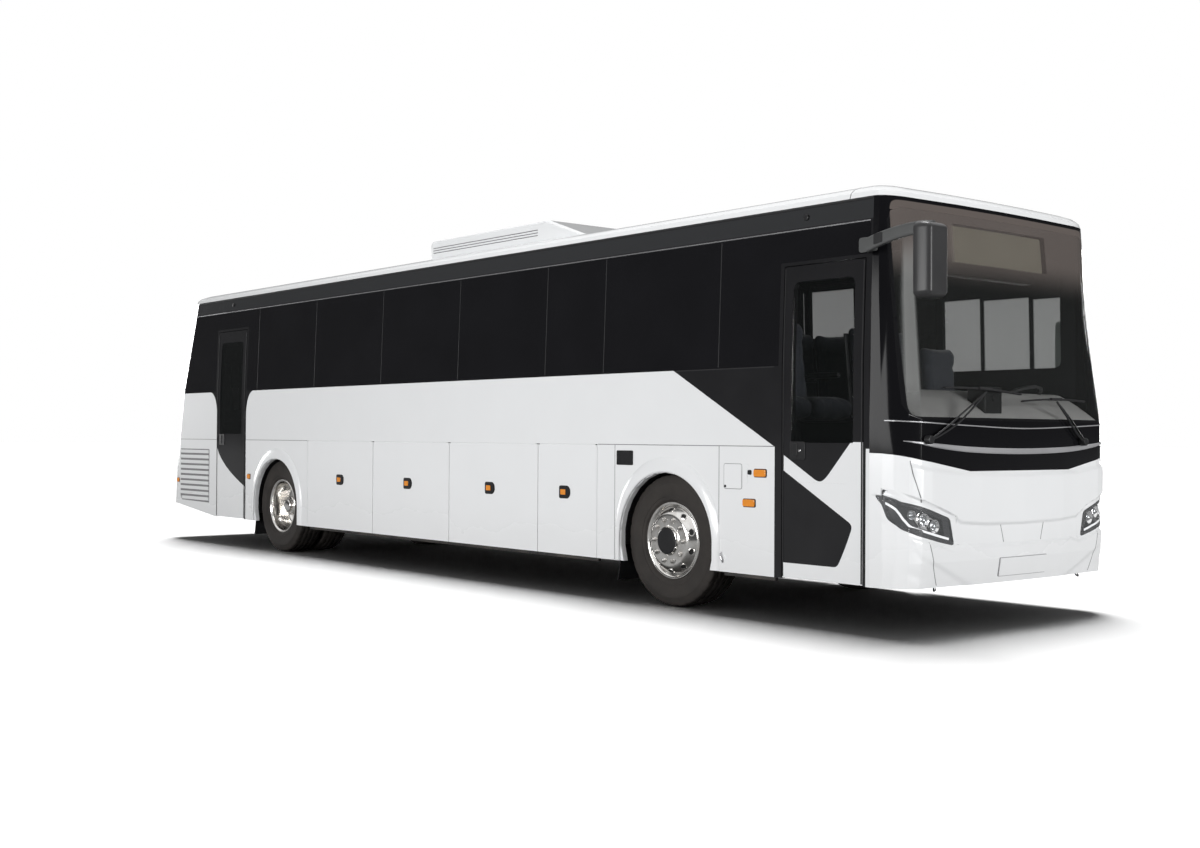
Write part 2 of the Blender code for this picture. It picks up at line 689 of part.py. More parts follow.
def build_side(right):
    """A side wall, its band of glass and its luggage flaps."""
    word = "right" if right else "left"
    wall = on_side(side_outline(right), right, LINING_Y, HALF_W)
    band = glass_outline(right)
    glass_y = HALF_W - SIDE_GLASS
    recess = on_side(grown(band, SEAT_GAP), right, glass_y - SEAT_GAP, HALF_W + OVERRUN)
    wall = cut(wall, recess)
    for opening in pane_openings(right):
        wall = cut(wall, on_side(opening, right, LINING_Y - OVERRUN, HALF_W + OVERRUN))
    glass = on_side(band, right, glass_y, HALF_W)
    wall = lean(wall)
    for i, (rear, front) in enumerate(FLAP_XS):
        side = sign_of(right)
        ends = [(x, side * HINGE_Y, HINGE_Z) for x in
                (rear + HINGE_END, front - HINGE_END)]
        wall = cut(wall, rod(*ends, HINGE_R + PIN_GAP, HINGE_SIDES))
        inset = [(x, side * HINGE_Y, HINGE_Z) for x in
                 (rear + HINGE_END + RUN_GAP, front - HINGE_END - RUN_GAP)]
        flap = on_side(side_band((rear + RUN_GAP / 2, front - RUN_GAP / 2),
                                 (SKIRT_Z, SEAM_Z - RUN_GAP)), right, LINING_Y, HALF_W)
        flap = join(flap, rod(*inset, HINGE_R, HINGE_SIDES))
        named(flap, f"luggage_flap_{word}_{i + 1}", WHITE)
    named(wall, f"{word}_side_wall", WHITE)
    named(lean(glass), f"{word}_side_glass", GLASS)


def build_nose():
    """Front panel, windscreen band, windscreen and headlamps, all cut from one skin."""
    panel = end_shell(NOSE_LEVELS, SHELL)
    mask_line = both_halves(from_edge(MASK_EDGE))
    top = ROOF_EDGE_Z + OVERRUN
    reach = mask_line[-1][0]
    region = mask_line + [(reach, top), (-reach, top)]
    mask = trim(end_shell(NOSE_LEVELS, SHELL), across_end(grown(region, -SEAT_GAP), True))
    panel = cut(panel, across_end(region, True))
    opening = rounded(half(HALF_W - SCREEN_EDGE), SCREEN_Z, SCREEN_CORNER_R)
    mask = cut(mask, across_end(grown(opening, SEAT_GAP), True))
    screen = trim(end_shell(NOSE_LEVELS, SCREEN_GLASS), across_end(opening, True))
    reach = (NOSE_LEVELS[0][2] + LAMP_REACH, NOSE_LEVELS[1][1] + OVERRUN)
    for side, word in ((1, "left"), (-1, "right")):
        outline = from_edge(HEADLAMP, side)
        lamp = trim(end_shell(NOSE_LEVELS, SHELL), prism(outline, "YZ", *reach))
        panel = cut(panel, prism(grown(outline, SEAT_GAP), "YZ", reach[0] - SEAT_GAP, reach[1]))
        named(lamp, f"headlamp_{word}", LAMP)
    named(panel, "front_panel", WHITE)
    named(mask, "windscreen_surround", BLACK)
    named(screen, "windscreen", CLEAR)


def build_tail():
    """Rear panel, rear window, tail lamps and the engine door with its hinge."""
    panel = end_shell(TAIL_LEVELS, SHELL)
    opening = rounded(half(HALF_W - REAR_GLASS_EDGE), REAR_GLASS_Z, REAR_GLASS_R)
    window = trim(end_shell(TAIL_LEVELS, REAR_GLASS), across_end(opening, False))
    panel = cut(panel, across_end(grown(opening, SEAT_GAP), False))
    outline = rounded(half(HALF_W - ENGINE_DOOR_EDGE), ENGINE_DOOR_Z, ENGINE_DOOR_R)
    door = trim(end_shell(TAIL_LEVELS, SHELL), across_end(outline, False))
    panel = cut(panel, across_end(grown(outline, RUN_GAP), False))
    hinge_z = ENGINE_DOOR_Z[1] + HINGE_DROP
    hinge_x = at_height(TAIL_LEVELS, hinge_z)[0] + HINGE_IN
    knuckle = half(ENGINE_HINGE_HALF_W)
    groove = half(ENGINE_HINGE_HALF_W + RUN_GAP)
    panel = cut(panel, rod(*((hinge_x, y, hinge_z) for y in groove), HINGE_R + PIN_GAP,
                           HINGE_SIDES))
    door = join(door, rod(*((hinge_x, y, hinge_z) for y in knuckle), HINGE_R, HINGE_SIDES))
    reach = (TAIL_LEVELS[0][1] - OVERRUN, TAIL_LEVELS[0][2] - TAIL_LAMP_REACH)
    for side, word in ((1, "left"), (-1, "right")):
        spot_y = sorted(side * (HALF_W - edge) for edge in TAIL_LAMP_EDGES)
        spot = rounded(spot_y, TAIL_LAMP_Z, TAIL_LAMP_R)
        lamp = trim(end_shell(TAIL_LEVELS, SHELL), prism(spot, "YZ", *reach))
        panel = cut(panel, prism(grown(spot, SEAT_GAP), "YZ", reach[0], reach[1] + SEAT_GAP))
        named(lamp, f"tail_lamp_{word}", RED_LAMP)
    named(panel, "rear_panel", WHITE)
    named(window, "rear_window", GLASS)
    named(door, "engine_door", WHITE)


def roof_ring(inset):
    """Plan of the roof at an inset from its edge, once round."""
    width = HALF_W - lean_in(ROOF_EDGE_Z)
    front = end_plan(*NOSE_LEVELS[-1][1:], width, inset)
    rear = end_plan(*TAIL_LEVELS[-1][1:], width, inset)
    return front + rear[::-1]


def roof_surface(lift=0.0, closed=False):
    """Outer face of the roof, raised by a lift; closed gives a solid under it."""
    verts, faces = [], []
    for inset, height in ROOF_RINGS:
        verts += [(x, y, ROOF_EDGE_Z + height + lift) for x, y in roof_ring(inset)]
    count = len(roof_ring(0))
    for i in range(len(ROOF_RINGS) - 1):
        for j in range(count):
            k = (j + 1) % count
            faces.append((i * count + j, i * count + k, (i + 1) * count + k,
                          (i + 1) * count + j))
    last = (len(ROOF_RINGS) - 1) * count
    faces.append(tuple(range(last, last + count)))
    if closed:
        faces.append(tuple(reversed(range(count))))
    mesh = bpy.data.meshes.new("roof")
    mesh.from_pydata(verts, [], faces)
    return add("roof_surface", mesh)


def build_roof():
    """The roof skin and the air conditioning unit that sits on it."""
    roof = roof_surface()
    solid = roof.modifiers.new("thickness", "SOLIDIFY")
    solid.thickness = ROOF_SKIN
    solid.offset = -1.0
    roof = settle(roof)
    under = ROOF_EDGE_Z - OVERRUN
    roof = cut(roof, box((TAIL_LEVELS[0][1], NOSE_LEVELS[1][1]), half(BODY_WIDTH),
                         (under - ROOF_SKIN, ROOF_EDGE_Z)))
    named(roof, "roof", WHITE)
    profile = [(POD_X[0], POD_LOW_Z), (POD_NOSE_X, POD_LOW_Z), (POD_X[1], POD_TOP_Z),
               (POD_X[0], POD_TOP_Z)]
    pod = prism(profile, "XZ", *half(HALF_W - POD_EDGE))
    bevel = pod.modifiers.new("round", "BEVEL")
    bevel.width = POD_ROUND
    bevel.segments = POD_ROUND_STEPS
    pod = cut(settle(pod), roof_surface(SEAT_GAP, True))
    named(pod, "roof_ac_unit", WHITE)


def build_underframe():
    """Rails ahead of and behind the luggage bay, its floor and its bulkheads."""
    floor_y = half(LINING_Y - SEAT_GAP)
    frame = box(BAY_X, floor_y, BAY_Z)
    top = FLOOR_Z - FLOOR - SEAT_GAP
    for x in (BAY_X[0], BAY_X[1] - BULKHEAD):
        frame = join(frame, box((x, x + BULKHEAD), floor_y, (BAY_Z[0], top)))
    for x in (FRONT_RAIL_X, REAR_RAIL_X):
        for side in (1, -1):
            frame = join(frame, box(x, sorted(side * y for y in RAIL_Y), FRAME_RAIL_Z))
    for x in CROSS_XS:
        frame = join(frame, box((x - CROSS_HALF, x + CROSS_HALF), half(RAIL_Y[1]), CROSS_Z))
    named(frame, "underframe", STEEL)


def wheel_house(axle_x, right):
    """A curved plate over a wheel with a flat inner wall."""
    low = SKIRT_Z + OVERRUN
    drop = math.degrees(math.asin((AXLE_Z - low) / HOUSE_R))
    outer = arc((axle_x, AXLE_Z), HOUSE_R, -drop, 180 + drop, HOUSE_STEPS)
    inner = arc((axle_x, AXLE_Z), HOUSE_R - HOUSE_SKIN, -drop, 180 + drop, HOUSE_STEPS)
    plate = on_side(outer + inner[::-1], right, HOUSE_INNER_Y, LINING_Y - 2 * SEAT_GAP)
    ends = grown([(x, z) for x, z in outer if z > FRAME_RAIL_Z[0]], -HOUSE_SKIN / 2)
    wall = on_side(ends, right, HOUSE_INNER_Y - SEAT_GAP, HOUSE_INNER_Y + HOUSE_SKIN)
    return join(plate, wall)


def stairs(x, treads):
    """Folded treads and risers down to a doorway, with a plate at each end."""
    face = []
    for i, z in enumerate(treads[:-1]):
        face.append((-WELL_Y + i * TREAD, z))
        face.append((-WELL_Y + (i + 1) * TREAD, z))
    inner, top = face[-1][0], treads[-1]
    face.append((inner, top))
    under = [(y + STAIR_PLATE, z - STAIR_PLATE) for y, z in reversed(face[1:-1])]
    outline = face + [(inner + STAIR_PLATE, top)] + under
    outline.append((-WELL_Y, treads[0] - STAIR_PLATE))
    steps = prism(outline, "YZ", x[0] - STAIR_PLATE / 2, x[1] + STAIR_PLATE / 2)
    for edge in (x[0] - STAIR_PLATE, x[1]):
        plate = box((edge, edge + STAIR_PLATE), (-WELL_Y + SEAT_GAP, inner + STAIR_PLATE),
                    (STAIR_LOW_Z, top))
        steps = join(steps, plate)
    return steps


def stairwell(x, treads):
    """What the stairs of a doorway take out of the floor."""
    inner = -WELL_Y + (len(treads) - 1) * TREAD + STAIR_PLATE
    return box((x[0] - STAIR_PLATE - SEAT_GAP, x[1] + STAIR_PLATE + SEAT_GAP),
               (-LINING_Y - OVERRUN, inner + SEAT_GAP), (SKIRT_Z, FLOOR_Z + OVERRUN))


def build_floor():
    """Saloon floor in three sections, the end ones with wheel houses, cab floor and stairs."""
    sides = half(LINING_Y - SEAT_GAP)
    heights = (FLOOR_Z - FLOOR, FLOOR_Z)
    rear = box((FLOOR_REAR_X, BAY_X[0] - SEAT_GAP), sides, heights)
    rear = cut(rear, stairwell(REAR_DOOR_X, REAR_TREADS))
    front = box((BAY_X[1] + SEAT_GAP, CAB_REAR_X), sides, heights)
    for right in (True, False):
        rear = join(rear, wheel_house(REAR_AXLE_X, right))
        front = join(front, wheel_house(FRONT_AXLE_X, right))
    front_x, step_x = NOSE_LEVELS[0][2], CAB_REAR_X - FLOOR
    low_z, rest_z = CAB_FLOOR_Z - FLOOR, FLOOR_Z - FLOOR - SEAT_GAP
    section = [(step_x, low_z), (front_x, low_z), (front_x, CAB_FLOOR_Z),
               (CAB_REAR_X, CAB_FLOOR_Z), (CAB_REAR_X, rest_z), (step_x, rest_z)]
    cab_floor = cut(prism(section, "XZ", *sides), stairwell(FRONT_DOOR_X, FRONT_TREADS))
    named(rear, "rear_floor", FLOORING)
    named(box(BAY_X, sides, heights), "floor", FLOORING)
    named(front, "front_floor", FLOORING)
    named(cab_floor, "cab_floor", FLOORING)
    named(stairs(FRONT_DOOR_X, FRONT_TREADS), "front_stairs", FLOORING)
    named(stairs(REAR_DOOR_X, REAR_TREADS), "rear_stairs", FLOORING)


def build_door(word, x, top, tread):
    """A door leaf with its window, and the swan-neck arms on a pole that carry it."""
    rear, front = x[0] + RUN_GAP, x[1] - RUN_GAP
    leaf = on_side([side_band((rear, front), (DOOR_LOW_Z, top - RUN_GAP)),
                    rounded((rear + DOOR_STILE, front - DOOR_STILE), DOOR_PANE_Z,
                            DOOR_PANE_R)], True, LINING_Y, HALF_W)
    leaf = lean(leaf)
    pole_x = x[1] - POLE_INSET_X
    pin_x = pole_x - ARM_LENGTH
    arms = rod((pole_x, -POLE_Y, tread + SEAT_GAP), (pole_x, -POLE_Y, ARM_ZS[1] + EYE_HALF), POLE_R)
    elbow = (pole_x + ARM_ELBOW[0], -POLE_Y + ARM_ELBOW[1])
    for z in ARM_ZS:
        path = [(pole_x, -POLE_Y), elbow, (pin_x, -POLE_Y)]
        arms = join(arms, prism(strip(path, ARM_R), "XY", z - ARM_R, z + ARM_R),
                    rod((pin_x, -POLE_Y, z - EYE_HALF), (pin_x, -POLE_Y, z + EYE_HALF), EYE_R))
        reach = EYE_HALF + PIN_GAP + LUG_T
        arms = cut(arms, rod((pin_x, -POLE_Y, z - reach), (pin_x, -POLE_Y, z + reach),
                             PIN_R + PIN_GAP))
        leaf = join(leaf, rod((pin_x, -POLE_Y, z - reach), (pin_x, -POLE_Y, z + reach), PIN_R))
        for low_z in (z - reach, z + EYE_HALF + PIN_GAP):
            leaf = join(leaf, box((pin_x - LUG_HALF_X, pin_x + LUG_HALF_X),
                                  (-LINING_Y - WALL / 2, -POLE_Y + LUG_HALF_X),
                                  (low_z, low_z + LUG_T)))
    named(leaf, f"{word}_door", BLACK)
    named(arms, f"{word}_door_arms", STEEL)


def build_tyres_and_rims():
    """Single front wheels and twin rear wheels on each side."""
    profile = list(TYRE_PROFILE)
    whole = [(r, -h) for r, h in profile] + [(r, h) for r, h in reversed(profile)]
    for right, word in ((True, "right"), (False, "left")):
        side = sign_of(right)
        spots = (("front_tyre", FRONT_AXLE_X, WHEEL_Y), ("rear_outer_tyre", REAR_AXLE_X, WHEEL_Y),
                 ("rear_inner_tyre", REAR_AXLE_X, WHEEL_Y - TWIN_PITCH))
        for name, x, y in spots:
            tyre = moved(turned(whole, WHEEL_STEPS, True), (x, side * y, AXLE_Z))
            named(tyre, f"{name}_{word}", RUBBER)
        rim = turned([(r, h * side) for r, h in FRONT_RIM], WHEEL_STEPS)
        for i in range(HAND_HOLES):
            t = math.tau * (i + 0.5) / HAND_HOLES
            at = (HAND_HOLE_AT_R * math.cos(t), HAND_HOLE_AT_R * math.sin(t))
            rim = cut(rim, rod((at[0], -TYRE_W, at[1]), (at[0], TYRE_W, at[1]),
                               HAND_HOLE_R, HAND_HOLE_SIDES))
        rim = moved(rim, (FRONT_AXLE_X, side * WHEEL_Y, AXLE_Z))
        named(rim, f"front_rim_{word}", ALLOY)
        rims = turned([(r, h * side) for r, h in TWIN_RIM], WHEEL_STEPS)
        named(moved(rims, (REAR_AXLE_X, side * TWIN_Y, AXLE_Z)), f"rear_rims_{word}", ALLOY)


def build_axles():
    """Front beam with its knuckles, and the rear drive axle."""
    beam = box((FRONT_AXLE_X - BEAM_HALF, FRONT_AXLE_X + BEAM_HALF), half(KINGPIN_Y),
               (AXLE_Z - BEAM_HALF, AXLE_Z + BEAM_HALF))
    rear = rod(*((REAR_AXLE_X, y, AXLE_Z) for y in half(TWIN_Y + TWIN_RIM[-1][1] - PIN_GAP)),
               TUBE_R)
    rear = join(rear, rod((REAR_AXLE_X, 0, AXLE_Z - DIFFERENTIAL_R),
                          (REAR_AXLE_X, 0, AXLE_Z + DIFFERENTIAL_R), DIFFERENTIAL_R))
    post_top = FRAME_RAIL_Z[0] - SEAT_GAP
    for side, word in ((1, "left"), (-1, "right")):
        pin = (FRONT_AXLE_X, side * KINGPIN_Y)
        beam = join(beam, rod((*pin, AXLE_Z - BOSS_HALF), (*pin, AXLE_Z + BOSS_HALF), KINGPIN_R))
        post_y = sorted(side * y for y in SPRING_Y)
        beam = join(beam, box((FRONT_AXLE_X - SPRING_HALF_X, FRONT_AXLE_X + SPRING_HALF_X),
                              post_y, (AXLE_Z, post_top)))
        rear = join(rear, box((REAR_AXLE_X - SPRING_HALF_X, REAR_AXLE_X + SPRING_HALF_X),
                              post_y, (AXLE_Z, post_top)))
        drum = [(REAR_AXLE_X, side * y, AXLE_Z) for y in REAR_DRUM_Y]
        rear = join(rear, rod(*drum, DRUM_R, WHEEL_STEPS))
        yoke = box((FRONT_AXLE_X - YOKE_HALF_X, FRONT_AXLE_X + YOKE_HALF_X),
                   sorted(side * y for y in YOKE_Y), (AXLE_Z - LUG_Z[1], AXLE_Z + LUG_Z[1]))
        for up in (1, -1):
            near, far = (AXLE_Z + up * z for z in LUG_Z)
            yoke = join(yoke, rod((*pin, near), (*pin, far), KINGPIN_R),
                        box((FRONT_AXLE_X - KINGPIN_R, FRONT_AXLE_X + KINGPIN_R),
                            sorted(side * y for y in (KINGPIN_Y, YOKE_Y[1])),
                            sorted((near, far))))
        drum = [(FRONT_AXLE_X, side * y, AXLE_Z) for y in FRONT_DRUM_Y]
        spindle = [(FRONT_AXLE_X, side * y, AXLE_Z)
                   for y in (YOKE_Y[0], WHEEL_Y + FRONT_RIM[-1][1] - PIN_GAP)]
        yoke = join(yoke, rod(*drum, DRUM_R, WHEEL_STEPS), rod(*spindle, SPINDLE_R))
        named(yoke, f"front_knuckle_{word}", CAST)
    named(beam, "front_axle", STEEL)
    named(rear, "rear_axle", STEEL)


def seat_row(x, side):
    """One pair of seats, its backrest behind it, facing ahead."""
    (low, high), back_x = CUSHION_Z, x - SEAT_BACK
    section = [(back_x, low), (x + SEAT_X, low), (x + SEAT_X, high), (x, high),
               (x - SEAT_RECLINE, BACK_TOP_Z), (back_x - SEAT_RECLINE, BACK_TOP_Z)]
    return prism(section, "XZ", *sorted(side * v for v in SEAT_Y))


def build_seats():
    """Rows of seats on a plinth each side of the aisle, joined by the rear bench."""
    bench = [(REAR_BENCH_X - SEAT_BACK, FLOOR_Z + SEAT_GAP),
             (REAR_BENCH_X + SEAT_X, FLOOR_Z + SEAT_GAP),
             (REAR_BENCH_X + SEAT_X, CUSHION_Z[1]), (REAR_BENCH_X, CUSHION_Z[1]),
             (REAR_BENCH_X - SEAT_RECLINE, BACK_TOP_Z),
             (REAR_BENCH_X - SEAT_BACK, BACK_TOP_Z)]
    seats = prism(bench, "XZ", *half(SEAT_Y[1]))
    for side in (1, -1):
        spans = [(REAR_BENCH_X, FIRST_ROW_X + SEAT_X / 2)]
        if side < 0:
            spans = [(REAR_BENCH_X, REAR_DOOR_X[0] - STAIR_PLATE),
                     (REAR_DOOR_X[1] + STAIR_PLATE, FIRST_ROW_X + SEAT_X / 2)]
        rows = [FIRST_ROW_X - i * ROW_PITCH for i in range(ROWS)]
        clear = (REAR_DOOR_X[0] - SEAT_X, REAR_DOOR_X[1] + SEAT_BACK + SEAT_RECLINE)
        rows = [x for x in rows if side > 0 or not clear[0] < x < clear[1]]
        for span in spans:
            plinth = box(span, sorted(side * y for y in PLINTH_Y),
                         (FLOOR_Z + SEAT_GAP, CUSHION_Z[0] + SEAT_LEAP))
            for x in rows:
                if span[0] < x < span[1]:
                    plinth = join(plinth, seat_row(x, side))
            seats = join(seats, plinth)
    link = box(LINK_X, half((PLINTH_Y[0] + PLINTH_Y[1]) / 2),
               (FLOOR_Z + SEAT_GAP, FLOOR_Z + LINK_TOP))
    named(join(seats, link), "passenger_seats", FABRIC)


def build_inside():
    """Driver's seat, dashboard and engine block."""
    (rear, front), y = DRIVER_SEAT
    seat = box((rear, front), y, DRIVER_CUSHION_Z)
    seat = join(seat, box((rear - SEAT_BACK, rear + SEAT_BACK / 2), y,
                          (DRIVER_CUSHION_Z[0], DRIVER_BACK_TOP_Z)))
    middle = ((rear + front) / 2, (y[0] + y[1]) / 2)
    seat = join(seat, box((middle[0] - DRIVER_BASE_HALF, middle[0] + DRIVER_BASE_HALF),
                          (middle[1] - DRIVER_BASE_HALF, middle[1] + DRIVER_BASE_HALF),
                          (CAB_FLOOR_Z + SEAT_GAP, DRIVER_CUSHION_Z[0] + SEAT_LEAP)))
    named(seat, "driver_seat", FABRIC)

    left = HALF_W - DASH_EDGE
    dash = box(DASH_X, (DASH_RIGHT_Y, left), (CAB_FLOOR_Z + SEAT_GAP, DASH_TOP_Z))
    dash = join(dash, box(DASH_X, (SHELF_EDGE - HALF_W, left), DASH_SHELF_Z),
                rod(WHEEL_CENTRE, COLUMN_END, COLUMN_R))
    dash = join(dash, steering_wheel())
    named(dash, "dashboard", PLASTIC)
    engine_z = (CROSS_Z[1] + SEAT_GAP, ENGINE_TOP_Z)
    named(box(ENGINE_X, half(RAIL_Y[0] - ENGINE_CLEAR), engine_z), "engine", CAST)


def steering_wheel():
    """A rim and three spokes square to the column."""
    ring = bpy.data.curves.new("ring", "CURVE")
    ring.dimensions = "3D"
    ring.bevel_depth = WHEEL_TUBE_R
    ring.bevel_resolution = 0
    spline = ring.splines.new("POLY")
    spline.points.add(RING_STEPS - 1)
    for i, point in enumerate(spline.points):
        t = math.tau * i / RING_STEPS
        point.co = (WHEEL_R * math.cos(t), WHEEL_R * math.sin(t), 0, 1)
    spline.use_cyclic_u = True
    wheel = bpy.data.objects.new("ring", ring)
    parts.objects.link(wheel)
    wheel = settle(wheel)
    wheel = join(wheel, rod((0, 0, -HUB_HALF), (0, 0, HUB_HALF), HUB_R, BALL_SIDES))
    for i in range(SPOKES):
        t = math.tau * (i + 0.5) / RING_STEPS + math.tau * i / SPOKES
        near, far = (Vector((math.cos(t), math.sin(t), 0)) * r for r in (HUB_R / 2, WHEEL_R))
        wheel = join(wheel, rod(near, far, SPOKE_R, BALL_SIDES))
    axis = Vector(COLUMN_END) - Vector(WHEEL_CENTRE)
    turn = axis.to_track_quat("Z", "Y").to_matrix().to_4x4()
    wheel.data.transform(Matrix.Translation(WHEEL_CENTRE) @ turn)
    return wheel


def tube(path, radius):
    """A bent round bar along an open path, mitred at its corners."""
    curve = bpy.data.curves.new("path", "CURVE")
    curve.dimensions = "3D"
    curve.bevel_depth = radius
    curve.bevel_resolution = 1
    curve.use_fill_caps = True
    spline = curve.splines.new("POLY")
    spline.points.add(len(path) - 1)
    for point, place in zip(spline.points, path):
        point.co = (*place, 1)
    bar = bpy.data.objects.new("tube", curve)
    parts.objects.link(bar)
    return settle(bar)


def mirror_head(centre, size, side):
    """The rounded housing of a mirror."""
    x, out, z = centre
    place = (x, side * (HALF_W + out), z)
    return box(*((c - s / 2, c + s / 2) for c, s in zip(place, size)), MIRROR_ROUND, ROUND_STEPS)


def build_mirrors():
    """The right mirror hangs from a deep flat arm, the left one stands on a bent tube."""
    faces = sorted(-HALF_W - out for out in RIGHT_ARM_OUT)
    arm = prism(strip(RIGHT_ARM, RIGHT_ARM_HALF_Z), "XZ", *faces)
    (x, z), (half_x, half_z) = RIGHT_ARM[0], RIGHT_FOOT_HALF
    skin = HALF_W - lean_in(z - half_z) + SEAT_GAP
    foot = box((x - half_x, x + half_x), (faces[0], -skin), (z - half_z, z + half_z))
    named(join(mirror_head(*RIGHT_MIRROR, -1), arm, foot), "mirror_right", PLASTIC)
    path = [(x, HALF_W + out, z) for x, out, z in LEFT_ARM]
    left = join(mirror_head(*LEFT_MIRROR, 1), tube(path, MIRROR_ARM_R))
    named(left, "mirror_left", PLASTIC)


def shade():
    """Smooth shading across shallow angles only."""
    for obj in parts.objects:
        for face in obj.data.polygons:
            face.use_smooth = True
        obj.data.set_sharp_from_angle(angle=math.radians(SHARP_DEG))


def main():
    clear_scene()
    for right in (True, False):
        build_side(right)
    build_nose()
    build_tail()
    build_roof()
    build_underframe()
    build_floor()
    build_axles()
    build_tyres_and_rims()
    build_door("front", FRONT_DOOR_X, FRONT_DOOR_TOP_Z, FRONT_TREADS[0])
    build_door("rear", REAR_DOOR_X, REAR_DOOR_TOP_Z, REAR_TREADS[0])
    build_seats()
    build_inside()
    build_mirrors()
    shade()


main()
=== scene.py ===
"""Looks of a white and black touring coach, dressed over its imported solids.

Metres, in the frame of the solids: +X is forward, +Y the driver's (left) side, +Z up.
Each class builds one sub-assembly; main() builds them in order.
"""

import logging
import math
from dataclasses import dataclass
from enum import Enum
from typing import Any, Callable, Mapping, Sequence

import bmesh
import bpy
import numpy as np
from mathutils import Matrix, Vector


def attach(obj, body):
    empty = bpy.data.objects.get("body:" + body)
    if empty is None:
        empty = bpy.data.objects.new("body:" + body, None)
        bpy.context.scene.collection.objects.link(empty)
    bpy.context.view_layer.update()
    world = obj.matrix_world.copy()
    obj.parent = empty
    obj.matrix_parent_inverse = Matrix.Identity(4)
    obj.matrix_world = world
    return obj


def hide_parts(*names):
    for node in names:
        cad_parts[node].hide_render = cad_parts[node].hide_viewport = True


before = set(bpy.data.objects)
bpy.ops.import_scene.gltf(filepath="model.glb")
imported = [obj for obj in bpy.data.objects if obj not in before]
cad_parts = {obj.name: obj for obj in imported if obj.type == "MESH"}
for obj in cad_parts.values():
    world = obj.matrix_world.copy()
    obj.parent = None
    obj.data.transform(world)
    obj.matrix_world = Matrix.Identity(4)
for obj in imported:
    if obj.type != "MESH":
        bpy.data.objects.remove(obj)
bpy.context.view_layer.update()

log = logging.getLogger("coach")

Array = np.ndarray
Colour = tuple[float, float, float]
Span = tuple[float, float]

# Sizes that several sub-assemblies share, as in the solids
HALF_WIDTH = 1.275
LEAN = 0.04
SKIRT_Z = 0.33
SEAM_Z = 1.27
BELT_Z = 1.85
RAIL_Z = 2.81
ROOF_EDGE_Z = 2.975
FRONT_AXLE_X = 3.47
REAR_AXLE_X = -3.10
AXLE_Z = 0.522
FRONT_DOOR = (4.70, 5.45)
REAR_DOOR = (-4.68, -3.91)
END_CORNER = 0.27
END_BOW = 0.035
NOSE_LEVELS = ((0.33, 5.815, 5.50), (0.50, 5.84, 5.50), (1.46, 5.84, 5.50), (2.30, 5.705, 5.50), (2.975, 5.64, 5.50))
TAIL_LEVELS = ((0.45, -6.13, -5.83), (1.26, -6.06, -5.76), (1.86, -5.94, -5.64), (2.975, -5.61, -5.31))


class Side(Enum):
    """The two sides of the coach, by the sign of Y."""

    RIGHT = -1.0
    LEFT = 1.0

    @property
    def word(self) -> str:
        """The side's name as the solids' names spell it."""
        return self.name.lower()


class Slot(Enum):
    """The record's material slots that pieces stand for."""

    PAINT = "white_paint"
    BLACK = "black_gloss"
    TINT = "tinted_glass"
    SCREEN = "windscreen_glass"
    RUBBER = "tyre_rubber"
    ALLOY = "polished_alloy"
    CHASSIS = "chassis_steel"
    PLASTIC = "dark_plastic"
    CLOTH = "seat_fabric"
    LENS = "lamp_glass"
    RED = "tail_lamp_glass"


# ---- Shader expressions


def math_node(operation: str, turned: bool = False) -> Callable[["Value", Any], "Value"]:
    """An operator of Value that adds one Math node.

    Args:
        operation: what the node does.
        turned: whether self is the second of the two, as in other - self.

    Returns:
        The method.
    """

    def method(self: "Value", other: Any) -> "Value":
        """The node's result."""
        first, second = (other, self) if turned else (self, other)
        return self.net.node("ShaderNodeMath", {"operation": operation}, {0: first, 1: second})

    return method


@dataclass(frozen=True)
class Value:
    """A number that varies over the surface: Python operators on it add Math nodes."""

    net: "Net"
    socket: bpy.types.NodeSocket

    __add__, __radd__ = math_node("ADD"), math_node("ADD", turned=True)
    __sub__, __rsub__ = math_node("SUBTRACT"), math_node("SUBTRACT", turned=True)
    __mul__, __rmul__ = math_node("MULTIPLY"), math_node("MULTIPLY", turned=True)
    __truediv__, __rtruediv__ = math_node("DIVIDE"), math_node("DIVIDE", turned=True)
    __pow__ = math_node("POWER")
    # On masks the least of two means both, and the most either
    least, most = math_node("MINIMUM"), math_node("MAXIMUM")

    def __neg__(self) -> "Value":
        """-self."""
        return self * -1.0

    def __abs__(self) -> "Value":
        """The size of self without its sign."""
        return self.net.node("ShaderNodeMath", {"operation": "ABSOLUTE"}, {0: self})

    def smooth_least(self, other: Any, blend: float) -> "Value":
        """The smaller of the two, rounded where they come within blend of each other."""
        return self.net.node("ShaderNodeMath", {"operation": "SMOOTH_MIN"}, {0: self, 1: other, 2: blend})

    def smooth_most(self, other: Any, blend: float) -> "Value":
        """The larger of the two, rounded where they come within blend of each other."""
        return self.net.node("ShaderNodeMath", {"operation": "SMOOTH_MAX"}, {0: self, 1: other, 2: blend})

    def above(self, edge: float, soft: float = 0.002) -> "Value":
        """A mask that goes from 0 to 1 as self passes an edge.

        Args:
            edge: the value at which the mask is one half.
            soft: the width of the step.
        """
        return self.net.node(
            "ShaderNodeMapRange", {"interpolation_type": "SMOOTHSTEP"},
            {"Value": self, "From Min": edge - soft / 2, "From Max": edge + soft / 2}
        )

    def below(self, edge: float, soft: float = 0.002) -> "Value":
        """A mask that goes from 1 to 0 as self passes an edge."""
        return 1.0 - self.above(edge, soft)

    def inside(self, low: float, high: float, soft: float = 0.002) -> "Value":
        """A mask that is 1 between two edges."""
        return self.above(low, soft) * self.below(high, soft)


